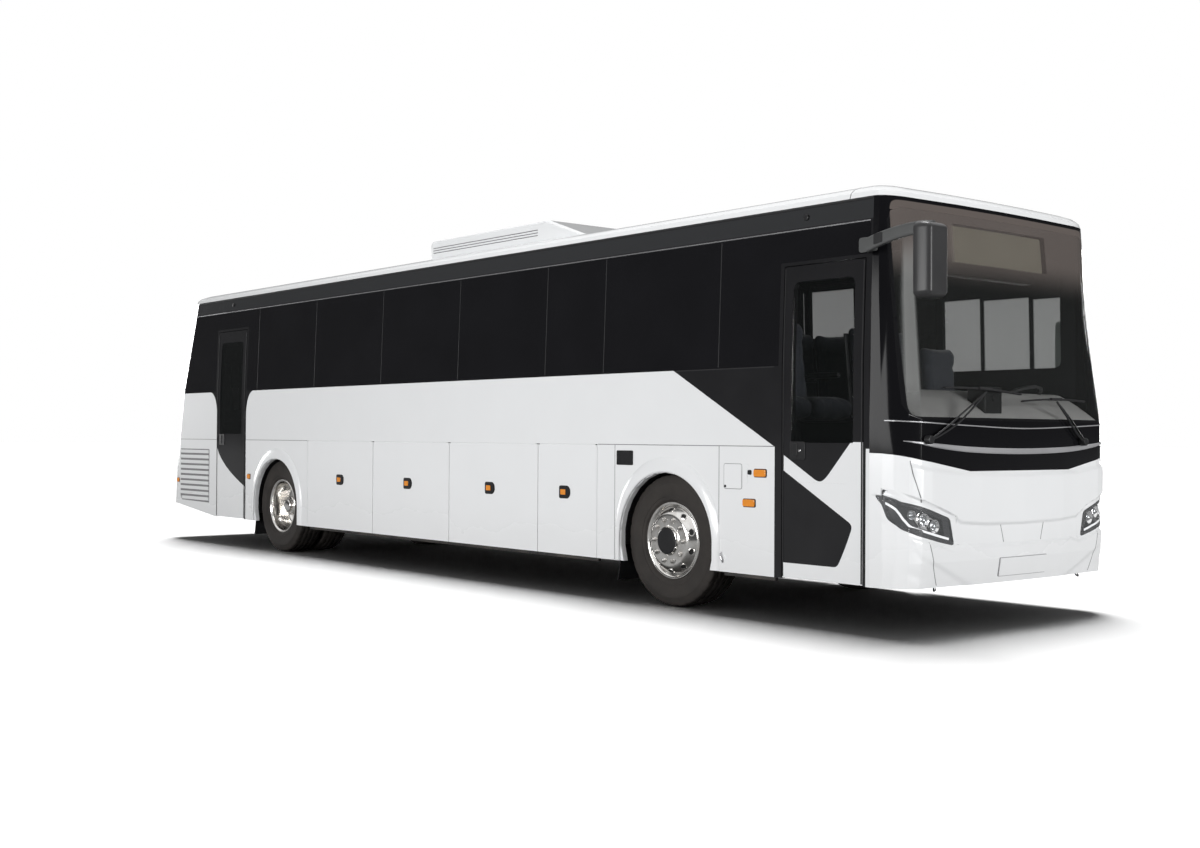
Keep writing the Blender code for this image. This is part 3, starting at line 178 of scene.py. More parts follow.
class Net:
    """The node tree of one material, or of the world."""

    def __init__(self, name: str, world: bpy.types.World | None = None) -> None:
        """Makes an empty tree with an output."""
        self.owner = world or bpy.data.materials.new(name)
        self.owner.use_nodes = True
        self.tree = self.owner.node_tree
        self.tree.nodes.clear()
        self.output = self.tree.nodes.new("ShaderNodeOutputWorld" if world else "ShaderNodeOutputMaterial")

    def feed(self, socket: bpy.types.NodeSocket, value: Any) -> None:
        """Links a value to a socket, or sets a constant on it."""
        if isinstance(value, Value):
            self.tree.links.new(value.socket, socket)
        elif isinstance(value, (tuple, list)) and len(value) == 3 and socket.type == "RGBA":
            socket.default_value = (*value, 1.0)
        else:
            socket.default_value = value

    def node(
        self, kind: str, settings: Mapping[str, Any] | None = None, inputs: Mapping[Any, Any] | None = None,
        out: Any = 0
    ) -> Value:
        """Any node of Blender's.

        Args:
            kind: the node's type.
            settings: attributes, set first; "stops" lists a ramp's (place, colour) pairs.
            inputs: constants or values by the socket's name or number.
            out: the output to give back.

        Returns:
            The chosen output as a value.
        """
        made = self.tree.nodes.new(kind)
        for key, setting in (settings or {}).items():
            if key == "stops":
                ramp = made.color_ramp.elements
                while len(ramp) < len(setting):
                    ramp.new(0.5)
                for element, (place, colour) in zip(ramp, setting):
                    element.position = place
                    element.color = (*colour, 1.0)
            else:
                setattr(made, key, setting)
        for key, value in (inputs or {}).items():
            self.feed(made.inputs[key], value)
        return Value(self, made.outputs[out])

    def place(self) -> Value:
        """The point on the surface, in Object coordinates."""
        return self.node("ShaderNodeTexCoord", out="Object")

    def axes(self) -> tuple[Value, Value, Value]:
        """X, Y and Z of the point on the surface."""
        split = self.node("ShaderNodeSeparateXYZ", inputs={0: self.place()})
        return tuple(Value(self, split.socket.node.outputs[i]) for i in range(3))

    def scaled(self, x: float, y: float, z: float) -> Value:
        """The point on the surface with its axes stretched."""
        return self.node("ShaderNodeVectorMath", {"operation": "MULTIPLY"}, {0: self.place(), 1: (x, y, z)})

    def noise(self, scale: float, detail: float = 2.0, at: Value | None = None, rough: float = 0.5) -> Value:
        """Smooth noise around 0.5."""
        inputs = {"Vector": at or self.place(), "Scale": scale, "Detail": detail, "Roughness": rough}
        return self.node("ShaderNodeTexNoise", inputs=inputs)

    def mix(self, first: Any, second: Any, share: Any) -> Value:
        """A colour between two, with share of the second."""
        return self.node("ShaderNodeMix", {"data_type": "RGBA"}, {0: share, 6: first, 7: second}, out=2)

    def bump(self, height: Value, strength: float, distance: float = 0.001) -> Value:
        """A normal from a height."""
        return self.node("ShaderNodeBump", inputs={"Height": height, "Strength": strength, "Distance": distance})

    def principled(self, **inputs: Any) -> Value:
        """A Principled shader; keyword names are the sockets' names with _ for a space."""
        return self.node("ShaderNodeBsdfPrincipled", inputs={k.replace("_", " "): v for k, v in inputs.items()})

    def done(self, shader: Value) -> Any:
        """Ends the tree with a shader and gives back its owner."""
        self.tree.links.new(shader.socket, self.output.inputs["Surface"])
        return self.owner


# ---- Finishes


@dataclass(frozen=True)
class Finish:
    """A material: its name, and the shader that each kind of finish draws."""

    name: str

    def shader(self, net: Net) -> Value:
        """The shader."""
        raise NotImplementedError

    def make(self) -> bpy.types.Material:
        """The material."""
        net = Net(self.name)
        return net.done(self.shader(net))


@dataclass(frozen=True)
class Coat(Finish):
    """Glossy body paint with faint orange peel, road film low down and dust in its colour."""

    name: str = "white coach paint"
    colour: Colour = (0.80, 0.81, 0.82)
    black: Colour = (0.012, 0.012, 0.013)
    cove: Colour = (0.034, 0.035, 0.037)
    roughness: float = 0.22

    def black_mask(self, net: Net, x: Value, y: Value, z: Value) -> Value | None:
        """Where the panel is black; None for a panel that is white all over."""
        return None

    def shader(self, net: Net) -> Value:
        """The shader."""
        x, y, z = net.axes()
        dust = net.noise(2.3, 5.0)
        film = z.below(0.62, 0.55) * net.noise(1.1, 6.0, net.scaled(1, 1, 3)) * 0.16
        shade = net.mix(self.colour, tuple(c * 0.955 for c in self.colour), dust)
        shade = net.mix(shade, (0.52, 0.51, 0.49), film)
        rough = self.roughness + film + (dust - 0.5) * 0.06
        mask = self.black_mask(net, x, y, z)
        peel = net.bump(net.noise(260.0, 1.0), 0.035, 0.0006)
        if mask is None:
            return net.principled(
                Base_Color=shade, Roughness=rough, Normal=peel, Coat_Weight=0.35, Coat_Roughness=0.06, IOR=1.45
            )
        dark = net.mix(self.black, tuple(c * 1.7 for c in self.black), net.noise(3.0, 4.0))
        dark = net.mix(dark, self.cove, z.above(RAIL_Z + 0.012, 0.01))
        white = net.principled(Base_Color=shade, Roughness=rough, Normal=peel, Coat_Weight=0.35, Coat_Roughness=0.06)
        gloss = net.principled(
            Base_Color=dark, Roughness=0.10 + (dust - 0.5) * 0.04, Normal=peel, Specular_IOR_Level=0.28
        )
        return net.node("ShaderNodeMixShader", inputs={0: mask, 1: white, 2: gloss})


@dataclass(frozen=True)
class SideCoat(Coat):
    """The side walls: black above the belt, with a black wedge behind the front doorway."""

    name: str = "side livery"
    right: bool = True
    wedge: tuple[Span, Span] = ((3.56, 1.845), (4.63, 1.268))
    posts: tuple[Span, ...] = ((4.632, 4.72), (5.44, 5.470))
    rear_surround: Span = (-4.672, -3.882)
    rear_curve: float = 0.22

    def black_mask(self, net: Net, x: Value, y: Value, z: Value) -> Value:
        """Black above the belt, in the wedge and, on the right, round both doorways."""
        (x0, z0), (x1, z1) = self.wedge
        slope = (z1 - z0) / (x1 - x0)
        wedge = (z - (x - x0) * slope).above(z0) * z.above(SEAM_Z - 0.002) * x.above(x0 - 0.3)
        mask = z.above(BELT_Z - 0.002).most(wedge)
        if not self.right:
            return mask
        for low, high in self.posts:
            mask = mask.most(x.inside(low, high))
        mask = mask.most(x.above(5.46) * z.above(1.262))
        low, high = self.rear_surround
        mask = mask.most(x.inside(low, high))
        # The white corners beside the doorway are rounded: black outside an arc of rear_curve.
        for edge, way in ((low, -1.0), (high, 1.0)):
            across = (x - edge) * way
            out_x = (across / self.rear_curve).least(1.0)
            rise = (z - (BELT_Z - 0.34)) / 0.34
            corner = ((1.0 - out_x) ** 2.4 + rise.most(0.0) ** 2.4).above(1.0, 0.02)
            mask = mask.most(corner * across.inside(-0.05, self.rear_curve) * z.above(1.3))
        return mask


@dataclass(frozen=True)
class FrontDoorCoat(Coat):
    """The front door: black over a white V, with a black shield under it and a white sill."""

    name: str = "front door livery"
    rear_line: tuple[float, float, float] = (4.683, 1.231, -0.571)
    front_line: tuple[float, float, float] = (5.150, 1.091, 1.130)
    shield_top: tuple[float, float, float] = (4.684, 1.120, -0.564)
    flank: tuple[float, float, float] = (5.352, 0.720, 0.400)
    foot: tuple[float, float, float] = (5.290, 0.566, 0.560)
    foot_z: float = 0.443
    top_z: float = 1.306

    def black_mask(self, net: Net, x: Value, y: Value, z: Value) -> Value:
        """Black over the V, and inside the shield.

        Each line is (X, Z, slope). The V is the smooth greatest of two lines, and the shield the
        smooth least of the distances to its four edges.
        """
        rear, front, top = (
            z0 + slope * (x - x0) for x0, z0, slope in (self.rear_line, self.front_line, self.shield_top)
        )
        over = (z - rear.smooth_most(front, 0.15)).above(0.0).most(z.above(self.top_z))
        flank, foot = (x0 - (z0 - z) * slope - x for x0, z0, slope in (self.flank, self.foot))
        shield = (top - z).smooth_least(flank, 0.07).smooth_least(foot, 0.03).smooth_least(z - self.foot_z, 0.045)
        stile = x.below(FRONT_DOOR[0] + 0.012)
        return over.most(shield.above(0.0)).most(stile)


@dataclass(frozen=True)
class RearDoorCoat(Coat):
    """The rear door: black, sweeping down forwards to a white foot."""

    name: str = "rear door livery"

    def black_mask(self, net: Net, x: Value, y: Value, z: Value) -> Value:
        """Black over a curve that falls steeply from the rear edge and flattens forwards."""
        u = ((x - REAR_DOOR[0]) / (REAR_DOOR[1] - REAR_DOOR[0])).most(0.001)
        return (z - (1.24 - u**0.55 * 0.52)).above(0.0)


@dataclass(frozen=True)
class Gloss(Finish):
    """Hard black or coloured trim with a little dust."""

    colour: Colour
    roughness: float = 0.15
    metallic: float = 0.0
    specular: float = 0.35
    grain: float = 0.0
    grain_scale: float = 500.0

    def shader(self, net: Net) -> Value:
        """The shader."""
        dust = net.noise(4.0, 5.0)
        base = net.mix(self.colour, tuple(min(1.0, c * 1.35 + 0.004) for c in self.colour), dust)
        inputs = {"Base_Color": base, "Roughness": self.roughness + (dust - 0.5) * 0.08}
        if self.grain:
            inputs["Normal"] = net.bump(net.noise(self.grain_scale, 3.0), self.grain, 0.0008)
        return net.principled(Metallic=self.metallic, Specular_IOR_Level=self.specular, **inputs)


@dataclass(frozen=True)
class Glazing(Finish):
    """Tinted glass, seen through a little; clear panes are given as (X from, X to, Z from, Z to)."""

    colour: Colour
    cover: float
    clear_panes: tuple[tuple[float, float, float, float], ...] = ()
    clear_cover: float = 0.70
    clear_colour: Colour = (0.30, 0.34, 0.32)
    specular: float = 0.3

    def shader(self, net: Net) -> Value:
        """The shader."""
        x, _, z = net.axes()
        film = net.noise(1.7, 4.0)
        tone: Any = net.mix(self.colour, tuple(c * 1.8 for c in self.colour), film)
        alpha: Any = self.cover + (film - 0.5) * 0.04
        for x0, x1, z0, z1 in self.clear_panes:
            clear = x.inside(x0, x1, 0.01) * z.inside(z0, z1, 0.01)
            tone = net.mix(tone, self.clear_colour, clear)
            alpha = alpha + (self.clear_cover - self.cover) * clear
        return net.principled(
            Base_Color=tone, Roughness=0.04 + film * 0.03, Alpha=alpha, Specular_IOR_Level=self.specular
        )


@dataclass(frozen=True)
class ScreenGlazing(Finish):
    """The windscreen: clear, with a warm grey band that fades in at the top and a black edge, and a painted reflection:
    a pale upright streak near its right-hand end.
    """

    name: str = "windscreen glass"
    tint: Colour = (0.030, 0.032, 0.031)
    band: Colour = (0.150, 0.128, 0.118)
    painted_reflection: Colour = (0.27, 0.275, 0.27)
    band_z: Span = (2.36, 2.66)
    display: tuple[float, float, float] = (0.56, 2.565, 2.835)
    edge_y: float = 1.165
    edge_z: Span = (1.478, 2.950)
    corner: float = 0.12
    cover: float = 0.22

    def shader(self, net: Net) -> Value:
        """The shader: the black edge lies outside a rectangle whose corners are smoothly rounded."""
        _, y, z = net.axes()
        across = abs(y)
        room = (self.edge_y - across).smooth_least(z - self.edge_z[0], self.corner)
        room = room.smooth_least(self.edge_z[1] - z, self.corner)
        edge = room.below(0.0, 0.006)
        up = z.above(sum(self.band_z) / 2, self.band_z[1] - self.band_z[0])
        warm = up * (0.88 + (net.noise(1.2, 3.0) - 0.5) * 0.2)
        # Painted reflection: a pale upright streak near the right-hand edge of the glass, also made less see-through.
        reflection_mask = (y + 1.125 - (z - 1.6) * 0.09).inside(-0.055, 0.055, 0.04) * z.inside(1.55, 2.60, 0.35)
        tone = net.mix(
            net.mix(self.tint, self.band, warm), self.painted_reflection,
            reflection_mask * (0.6 + 0.3 * net.noise(9.0, 3.0, net.scaled(1.0, 1.0, 0.1)))
        )
        tone = net.mix(tone, (0.008, 0.008, 0.009), edge)
        (half, low, high) = self.display
        shown = across.below(half) * z.inside(low, high)
        alpha = (self.cover + warm * (0.56 - 0.45 * shown) + reflection_mask * 0.5).most(edge).least(1.0)
        return net.principled(
            Base_Color=tone, Roughness=0.03 + 0.02 * net.noise(5.0), Alpha=alpha, Specular_IOR_Level=0.4
        )


@dataclass(frozen=True)
class BandGloss(Finish):
    """The black band round the windscreen, with the glass's warm tint carried on over its top edge."""

    name: str = "windscreen band"
    black: Colour = (0.006, 0.006, 0.007)
    tint: Colour = (0.115, 0.098, 0.090)
    half: float = 1.165
    top: float = 2.948
    corner: float = 0.10

    def shader(self, net: Net) -> Value:
        """The shader: the tint lies inside a rectangle whose top corners are smoothly rounded."""
        _, y, z = net.axes()
        room = (self.half - abs(y)).smooth_least(self.top - z, self.corner)
        tone = net.mix(self.black, self.tint, room.above(0.0, 0.006) * z.above(2.88))
        rough = 0.10 + 0.03 * net.noise(4.0, 5.0)
        return net.principled(Base_Color=tone, Roughness=rough, Specular_IOR_Level=0.08)


@dataclass(frozen=True)
class Rubber(Finish):
    """Tyre rubber, with dust in the tread and on the shoulder."""

    name: str = "tyre rubber"
    colour: Colour = (0.016, 0.014, 0.013)
    dust: Colour = (0.060, 0.052, 0.046)

    def shader(self, net: Net) -> Value:
        """The shader."""
        patches = net.noise(6.0, 6.0)
        tone = net.mix(self.colour, self.dust, (patches * 1.5 - 0.35).most(0.0).least(1.0) * 0.55)
        grain = net.bump(net.noise(420.0, 2.0), 0.25, 0.0008)
        return net.principled(
            Base_Color=tone, Roughness=0.72 + (patches - 0.5) * 0.2, Normal=grain, Specular_IOR_Level=0.3
        )


@dataclass(frozen=True)
class Alloy(Finish):
    """Polished forged alloy, with fine turning marks and some brake dust."""

    name: str = "polished alloy"
    colour: Colour = (0.83, 0.82, 0.80)
    roughness: float = 0.10

    def shader(self, net: Net) -> Value:
        """The shader."""
        smears = net.noise(16.0, 5.0)
        marks = net.bump(net.noise(90.0, 3.0, net.scaled(1.0, 9.0, 1.0)), 0.05, 0.0008)
        tone = net.mix(self.colour, (0.52, 0.48, 0.44), (smears * 1.8 - 0.75).most(0.0))
        return net.principled(Base_Color=tone, Metallic=1.0, Roughness=self.roughness + smears * 0.10, Normal=marks)


@dataclass(frozen=True)
class Cloth(Finish):
    """Woven moquette: fine cross threads over a soft mottled ground."""

    name: str = "seat cloth"
    colour: Colour = (0.035, 0.040, 0.052)
    fleck: Colour = (0.12, 0.13, 0.15)

    def shader(self, net: Net) -> Value:
        """The shader."""
        x, y, z = net.axes()
        thread = 1500.0
        warp = net.node("ShaderNodeMath", {"operation": "SINE"}, {0: (x + z) * thread})
        weft = net.node("ShaderNodeMath", {"operation": "SINE"}, {0: (y + z * 0.3) * thread})
        weave = (warp * weft + 1.0) * 0.5
        flecks = net.noise(240.0, 2.0).above(0.60, 0.05)
        tone = net.mix(self.colour, self.fleck, flecks * 0.5 + weave * 0.12)
        tone = net.mix(tone, tuple(c * 0.6 for c in self.colour), net.noise(5.0, 3.0) * 0.5)
        return net.principled(Base_Color=tone, Roughness=0.92, Normal=net.bump(weave, 0.3, 0.0006), Sheen_Weight=0.25)


@dataclass(frozen=True)
class Floorcloth(Finish):
    """Dark vinyl with pale chips."""

    name: str = "speckled vinyl"
    colour: Colour = (0.055, 0.057, 0.062)

    def shader(self, net: Net) -> Value:
        """The shader."""
        chips = net.noise(320.0, 1.0).above(0.66, 0.03)
        worn = net.noise(3.0, 5.0)
        tone = net.mix(net.mix(self.colour, (0.30, 0.30, 0.31), chips), (0.10, 0.095, 0.09), worn * 0.35)
        return net.principled(Base_Color=tone, Roughness=0.55 + worn * 0.2, Normal=net.bump(chips, 0.15, 0.0006))


@dataclass(frozen=True)
class Metalwork(Finish):
    """Painted or cast metal under the coach, with road dirt and a rough skin."""

    colour: Colour
    roughness: float = 0.6
    metallic: float = 0.3
    skin: float = 0.3

    def shader(self, net: Net) -> Value:
        """The shader."""
        dirt = net.noise(5.0, 7.0)
        tone = net.mix(self.colour, (0.10, 0.085, 0.07), (dirt * 1.6 - 0.5).most(0.0) * 0.7)
        return net.principled(
            Base_Color=tone, Roughness=self.roughness + (dirt - 0.5) * 0.3, Metallic=self.metallic,
            Normal=net.bump(net.noise(130.0, 4.0), self.skin, 0.001)
        )


@dataclass(frozen=True)
class Lens(Finish):
    """Moulded lens plastic with fine ribs, clear or coloured."""

    colour: Colour
    cover: float = 1.0
    glow: float = 0.0
    ribs: float = 700.0

    def shader(self, net: Net) -> Value:
        """The shader."""
        _, _, z = net.axes()
        rib = net.node("ShaderNodeMath", {"operation": "SINE"}, {0: z * self.ribs})
        tone = net.mix(self.colour, tuple(c * 0.7 for c in self.colour), rib * 0.5 + 0.5)
        return net.principled(
            Base_Color=tone, Roughness=0.08 + 0.05 * net.noise(30.0), Alpha=self.cover,
            Normal=net.bump(rib, 0.12, 0.0008), Emission_Color=tone, Emission_Strength=self.glow, Coat_Weight=0.5
        )


class Finishes:
    """Every material of the coach, each made once."""

    def __init__(self) -> None:
        """Makes the materials."""
        self.paint = Coat().make()
        self.side = {side: SideCoat(name=f"{side.word} side livery", right=side is Side.RIGHT).make() for side in Side}
        self.front_door = FrontDoorCoat().make()
        self.rear_door = RearDoorCoat().make()
        self.satin = Gloss("satin black trim", (0.012, 0.012, 0.013), 0.35, grain=0.1, specular=0.2).make()
        self.plastic = Gloss("grained plastic", (0.032, 0.033, 0.035), 0.45, grain=0.35).make()
        self.dash = Gloss("dashboard black", (0.030, 0.030, 0.031), 0.55, grain=0.3).make()
        self.cowl = Gloss("dashboard grey", (0.52, 0.52, 0.51), 0.5, grain=0.2).make()
        self.mirror_shell = Gloss("mirror shell", (0.026, 0.026, 0.027), 0.34, grain=0.12, specular=0.25).make()
        self.mirror_arm = Gloss("mirror arm", (0.060, 0.062, 0.062), 0.32, grain=0.1, specular=0.25).make()
        self.rubber_trim = Gloss("rubber seal", (0.014, 0.014, 0.015), 0.55, grain=0.2, specular=0.15).make()
        self.groove = Gloss("panel groove", (0.16, 0.16, 0.165), 0.6).make()
        self.pane_line = Gloss("pane seam", (0.020, 0.020, 0.021), 0.5, specular=0.15).make()
        self.bright = Gloss("bright trim", (0.42, 0.42, 0.43), 0.25, metallic=0.8).make()
        self.mask_trim = Gloss("grey trim line", (0.30, 0.30, 0.31), 0.30, metallic=0.3).make()
        self.chrome = Gloss("chrome", (0.85, 0.85, 0.86), 0.06, metallic=1.0).make()
        self.mirror_glass = Gloss("mirror glass", (0.75, 0.78, 0.80), 0.03, metallic=1.0).make()
        self.tint = Glazing("side glass", (0.006, 0.006, 0.007), 0.955).make()
        panes = (
            (4.142, 4.587, 1.85, 2.50), (4.625, 5.056, 1.86, 2.48), (5.096, 5.382, 1.83, 2.46), (2.62, 3.23, 2.26, 2.69)
        )
        self.left_tint = Glazing(
            "left side glass", (0.006, 0.006, 0.007), 0.955, panes, 0.50, (0.34, 0.38, 0.36)
        ).make()
        self.door_glass = {
            word: Glazing(f"{word} door glass", (0.008, 0.009, 0.009), cover).make() for word,
            cover in (("front", 0.26), ("rear", 0.55))
        }
        self.screen = ScreenGlazing().make()
        self.band = BandGloss().make()
        self.rubber = Rubber().make()
        self.alloy = Alloy().make()
        # Painted shade: near-black discs close the wheels' hand holes, where the hollow behind would be in shade.
        self.painted_hole_shade = Gloss("hand hole shade", (0.010, 0.010, 0.010), 0.6).make()
        self.cloth = Cloth().make()
        self.vinyl = Floorcloth().make()
        self.chassis = Metalwork("chassis paint", (0.014, 0.014, 0.015), 0.6, 0.1).make()
        self.cast = Metalwork("cast iron", (0.045, 0.043, 0.040), 0.65, 0.5, 0.5).make()
        self.bowl = Gloss("lamp bowl", (0.30, 0.31, 0.32), 0.18, metallic=0.9).make()
        self.lamp_black = Gloss("lamp bezel", (0.015, 0.015, 0.017), 0.2).make()
        self.clear = Lens("clear lens", (0.80, 0.83, 0.85), 0.05).make()
        self.daylight = Lens("daylight strip", (0.92, 0.93, 0.95), 1.0, 0.25).make()
        # The amber and red lenses glow a little; on the reflectors that use them this glow is painted light.
        self.amber = Lens("amber lens", (0.80, 0.27, 0.02), 1.0, 0.12).make()
        self.red = Lens("red lens", (0.42, 0.010, 0.012), 1.0, 0.05).make()
        self.clear_lens = Lens("reversing lens", (0.70, 0.70, 0.72), 1.0).make()
        self.display = Gloss("blank display", (0.27, 0.26, 0.20), 0.40, grain=0.4, grain_scale=260.0).make()


# ---- Shapes worked out as whole arrays


@dataclass
class Shape:
    """Points and faces of one closed shape."""

    points: Array
    faces: list[tuple[int, ...]]

    def shifted(self, offset: Sequence[float]) -> "Shape":
        """The shape moved by an offset."""
        return Shape(self.points + np.asarray(offset, float), self.faces)


def xyz(x: Array | float, y: Array | float, z: Array | float) -> Array:
    """Points from their three coordinates, each repeated to the shape of the others."""
    return np.stack(np.broadcast_arrays(x, y, z), axis=-1)


def merged(shapes: Sequence[Shape]) -> Shape:
    """Several shapes as one, their face numbers moved on by the points before them."""
    starts = np.cumsum([0] + [len(s.points) for s in shapes[:-1]])
    faces = [tuple(int(i + start) for i in face) for s, start in zip(shapes, starts) for face in s.faces]
    return Shape(np.concatenate([s.points for s in shapes]), faces)


def grid(points: Array, wrap_u: bool = False, wrap_v: bool = False, caps: bool = False) -> Shape:
    """A grid of points joined by four-sided faces.

    Face (i, j) joins points (i, j), (i, j+1), (i+1, j+1) and (i+1, j); where an axis wraps,
    its last row meets its first. Caps close the first and last rows with one face each.

    Args:
        points: an array of rows, columns and X, Y, Z.
        wrap_u: whether the rows run round.
        wrap_v: whether the columns run round.
        caps: whether the ends are closed.

    Returns:
        The shape.
    """
    rows, across = points.shape[:2]
    i = np.arange(rows if wrap_u else rows - 1)[:, None]
    j = np.arange(across if wrap_v else across - 1)[None, :]
    i2, j2 = (i + 1) % rows, (j + 1) % across
    quads = np.stack([i * across + j, i * across + j2, i2 * across + j2, i2 * across + j], axis=-1).reshape(-1, 4)
    faces = [tuple(face) for face in quads.tolist()]
    if caps:
        faces += [tuple(range(across))[::-1], tuple(range((rows - 1) * across, rows * across))]
    return Shape(points.reshape(-1, 3), faces)


def round_box_outline(u: Span, v: Span, radius: float, steps: int = 4) -> Array:
    """A rectangle with round corners, anticlockwise: corner k is an arc of 90 degrees from 90k - 90."""
    turn = np.radians(np.linspace(0.0, 90.0, steps + 1))[None, :] + np.radians(
        np.array([-90.0, 0.0, 90.0, 180.0])
    )[:, None]
    centre_u = np.array([u[1] - radius, u[1] - radius, u[0] + radius, u[0] + radius])[:, None]
    centre_v = np.array([v[0] + radius, v[1] - radius, v[1] - radius, v[0] + radius])[:, None]
    return np.stack([centre_u + radius * np.cos(turn), centre_v + radius * np.sin(turn)], axis=-1).reshape(-1, 2)


def corners(u: Span, v: Span) -> list[Span]:
    """The corners of a rectangle, anticlockwise."""
    return [(u[0], v[0]), (u[1], v[0]), (u[1], v[1]), (u[0], v[1])]


def inset(outline: Array, by: float) -> Array:
    """A closed outline moved inwards: each corner goes along the mitre of its two edges."""
    before = outline - np.roll(outline, 1, axis=0)
    after = np.roll(outline, -1, axis=0) - outline
    area = np.sum(outline[:, 0] * np.roll(outline[:, 1], -1) - np.roll(outline[:, 0], -1) * outline[:, 1])
    turn = math.copysign(1.0, area)
    na = np.stack([-before[:, 1], before[:, 0]], axis=1) / np.linalg.norm(before, axis=1, keepdims=True) * turn
    nb = np.stack([-after[:, 1], after[:, 0]], axis=1) / np.linalg.norm(after, axis=1, keepdims=True) * turn
    mitre = (na + nb) / np.maximum(0.35, 1.0 + np.sum(na * nb, axis=1, keepdims=True))
    return outline + mitre * by


def rings_of(outline: Array, depth: float, edge: float, steps: int = 2) -> tuple[Array, Array]:
    """Rings of a plate with round edges: (outlines, heights).

    Ring k of an edge is moved in by edge (1 - sin t) and stands at edge (1 - cos t), t from 0 to 90.
    """
    if edge <= 0.0:
        return np.stack([outline, outline]), np.array([0.0, depth])
    t = np.linspace(0.0, math.pi / 2, steps + 1)
    moves = edge * (1.0 - np.sin(t))
    lifts = edge * (1.0 - np.cos(t))
    moves = np.concatenate([moves, moves[::-1]])
    heights = np.concatenate([lifts, depth - lifts[::-1]])
    return np.stack([inset(outline, m) for m in moves]), heights


def plate(
    outline: Array, origin: Sequence[float], u: Sequence[float], v: Sequence[float], depth: float, edge: float = 0.0
) -> Shape:
    """A flat plate with round edges, lifted from a plane along u x v.

    Args:
        outline: its edge as (u, v) pairs.
        origin: where (0, 0) of the outline lies.
        u: the plane's first direction.
        v: the plane's second direction.
        depth: its thickness.
        edge: the radius of its edges.

    Returns:
        The closed shape.
    """
    outlines, heights = rings_of(np.asarray(outline, float), depth, edge)
    u, v = np.asarray(u, float), np.asarray(v, float)
    normal = np.cross(u, v)
    points = (
        np.asarray(origin, float) + outlines[..., :1] * u + outlines[..., 1:] * v + heights[:, None, None] * normal
    )
    return grid(points, wrap_v=True, caps=True)


def block(x: Span, y: Span, z: Span, edge: float = 0.004, corner: float | None = None) -> Shape:
    """A block with round edges: its plan is a round-cornered rectangle, raised as a plate."""
    radius = max(edge * 1.001, 0.0005) if corner is None else corner
    outline = round_box_outline(x, y, radius, 3)
    return plate(outline, (0, 0, z[0]), (1, 0, 0), (0, 1, 0), z[1] - z[0], edge)


def sweep(path: Array, profile: Array, up: Sequence[float] | Array, closed: bool = False, wrap: bool = True) -> Shape:
    """A profile carried along a path.

    At each point the tangent is t, the second axis n is the part of up square to t, and the first
    is t x n; a profile point (a, b) goes to path + a (t x n) + b n.

    Args:
        path: the points followed.
        profile: (a, b) pairs, run round when wrap is true.
        up: one direction, or one for each point.
        closed: whether the path runs round.
        wrap: whether the profile runs round.

    Returns:
        The shape, with its ends closed when it is open.
    """
    path = np.asarray(path, float)
    if closed:
        tangent = np.roll(path, -1, axis=0) - np.roll(path, 1, axis=0)
    else:
        tangent = np.gradient(path, axis=0)
    tangent /= np.linalg.norm(tangent, axis=1, keepdims=True)
    up = np.broadcast_to(np.asarray(up, float), path.shape)
    normal = up - np.sum(up * tangent, axis=1, keepdims=True) * tangent
    normal /= np.linalg.norm(normal, axis=1, keepdims=True)
    side = np.cross(tangent, normal)
    profile = np.asarray(profile, float)
    points = path[:, None, :] + profile[None, :, :1] * side[:, None, :] + profile[None, :, 1:] * normal[:, None, :]
    return grid(points, wrap_u=closed, wrap_v=wrap, caps=not closed and wrap)


def circle(radius: float, steps: int = 10, squash: float = 1.0) -> Array:
    """Points round a circle, or an ellipse when squash isn't 1."""
    t = np.arange(steps) * math.tau / steps
    return np.stack([radius * np.cos(t), radius * squash * np.sin(t)], axis=1)


def smooth_path(points: Sequence[Sequence[float]], count: int) -> Array:
    """A smooth path through points: a Catmull-Rom curve, sampled evenly in its parameter."""
    keys = np.asarray(points, float)
    padded = np.vstack([2 * keys[0] - keys[1], keys, 2 * keys[-1] - keys[-2]])
    t = np.linspace(0.0, len(keys) - 1.0, count)
    i = np.minimum(t.astype(int), len(keys) - 2)
    f = (t - i)[:, None]
    p0, p1, p2, p3 = padded[i], padded[i + 1], padded[i + 2], padded[i + 3]
    return 0.5 * (2 * p1 + (p2 - p0) * f + (2 * p0 - 5 * p1 + 4 * p2 - p3) * f**2 + (3 * p1 - p0 - 3 * p2 + p3) * f**3)


def lathe(profile: Sequence[Span], centre: Sequence[float], out: float, steps: int = 64) -> Shape:
    """A profile turned about a wheel's axle.

    Point (r, h) goes to centre + (r cos t, out h, r sin t); it is closed when its ends are on the axle.
    """
    rim = np.asarray(profile, float)
    t = np.arange(steps) * math.tau / steps
    ring = xyz(rim[:, :1] * np.cos(t), rim[:, 1:] * out, rim[:, :1] * np.sin(t))
    return grid(ring + np.asarray(centre, float), wrap_v=True)


def around(shape: Shape, centre: Sequence[float], count: int, start: float = 0.0) -> Shape:
    """Copies of a shape turned about a wheel's axle, count times round."""
    centre = np.asarray(centre, float)
    t = start + np.arange(count) * math.tau / count
    local = shape.points - centre
    x = local[None, :, 0] * np.cos(t)[:, None] - local[None, :, 2] * np.sin(t)[:, None]
    z = local[None, :, 0] * np.sin(t)[:, None] + local[None, :, 2] * np.cos(t)[:, None]
    points = xyz(x, local[None, :, 1], z) + centre
    return merged([Shape(p, shape.faces) for p in points])


def lean_in(z: Array) -> Array:
    """How far the body side has come in at a height, straight from belt to roof edge."""
    return LEAN * np.clip((z - BELT_Z) / (ROOF_EDGE_Z - BELT_Z), 0.0, 1.2)


def leaned(shape: Shape) -> Shape:
    """A shape built on the upright side plane, leaned in with the wall."""
    points = shape.points.copy()
    points[:, 1] -= np.sign(points[:, 1]) * lean_in(points[:, 2])
    return Shape(points, shape.faces)


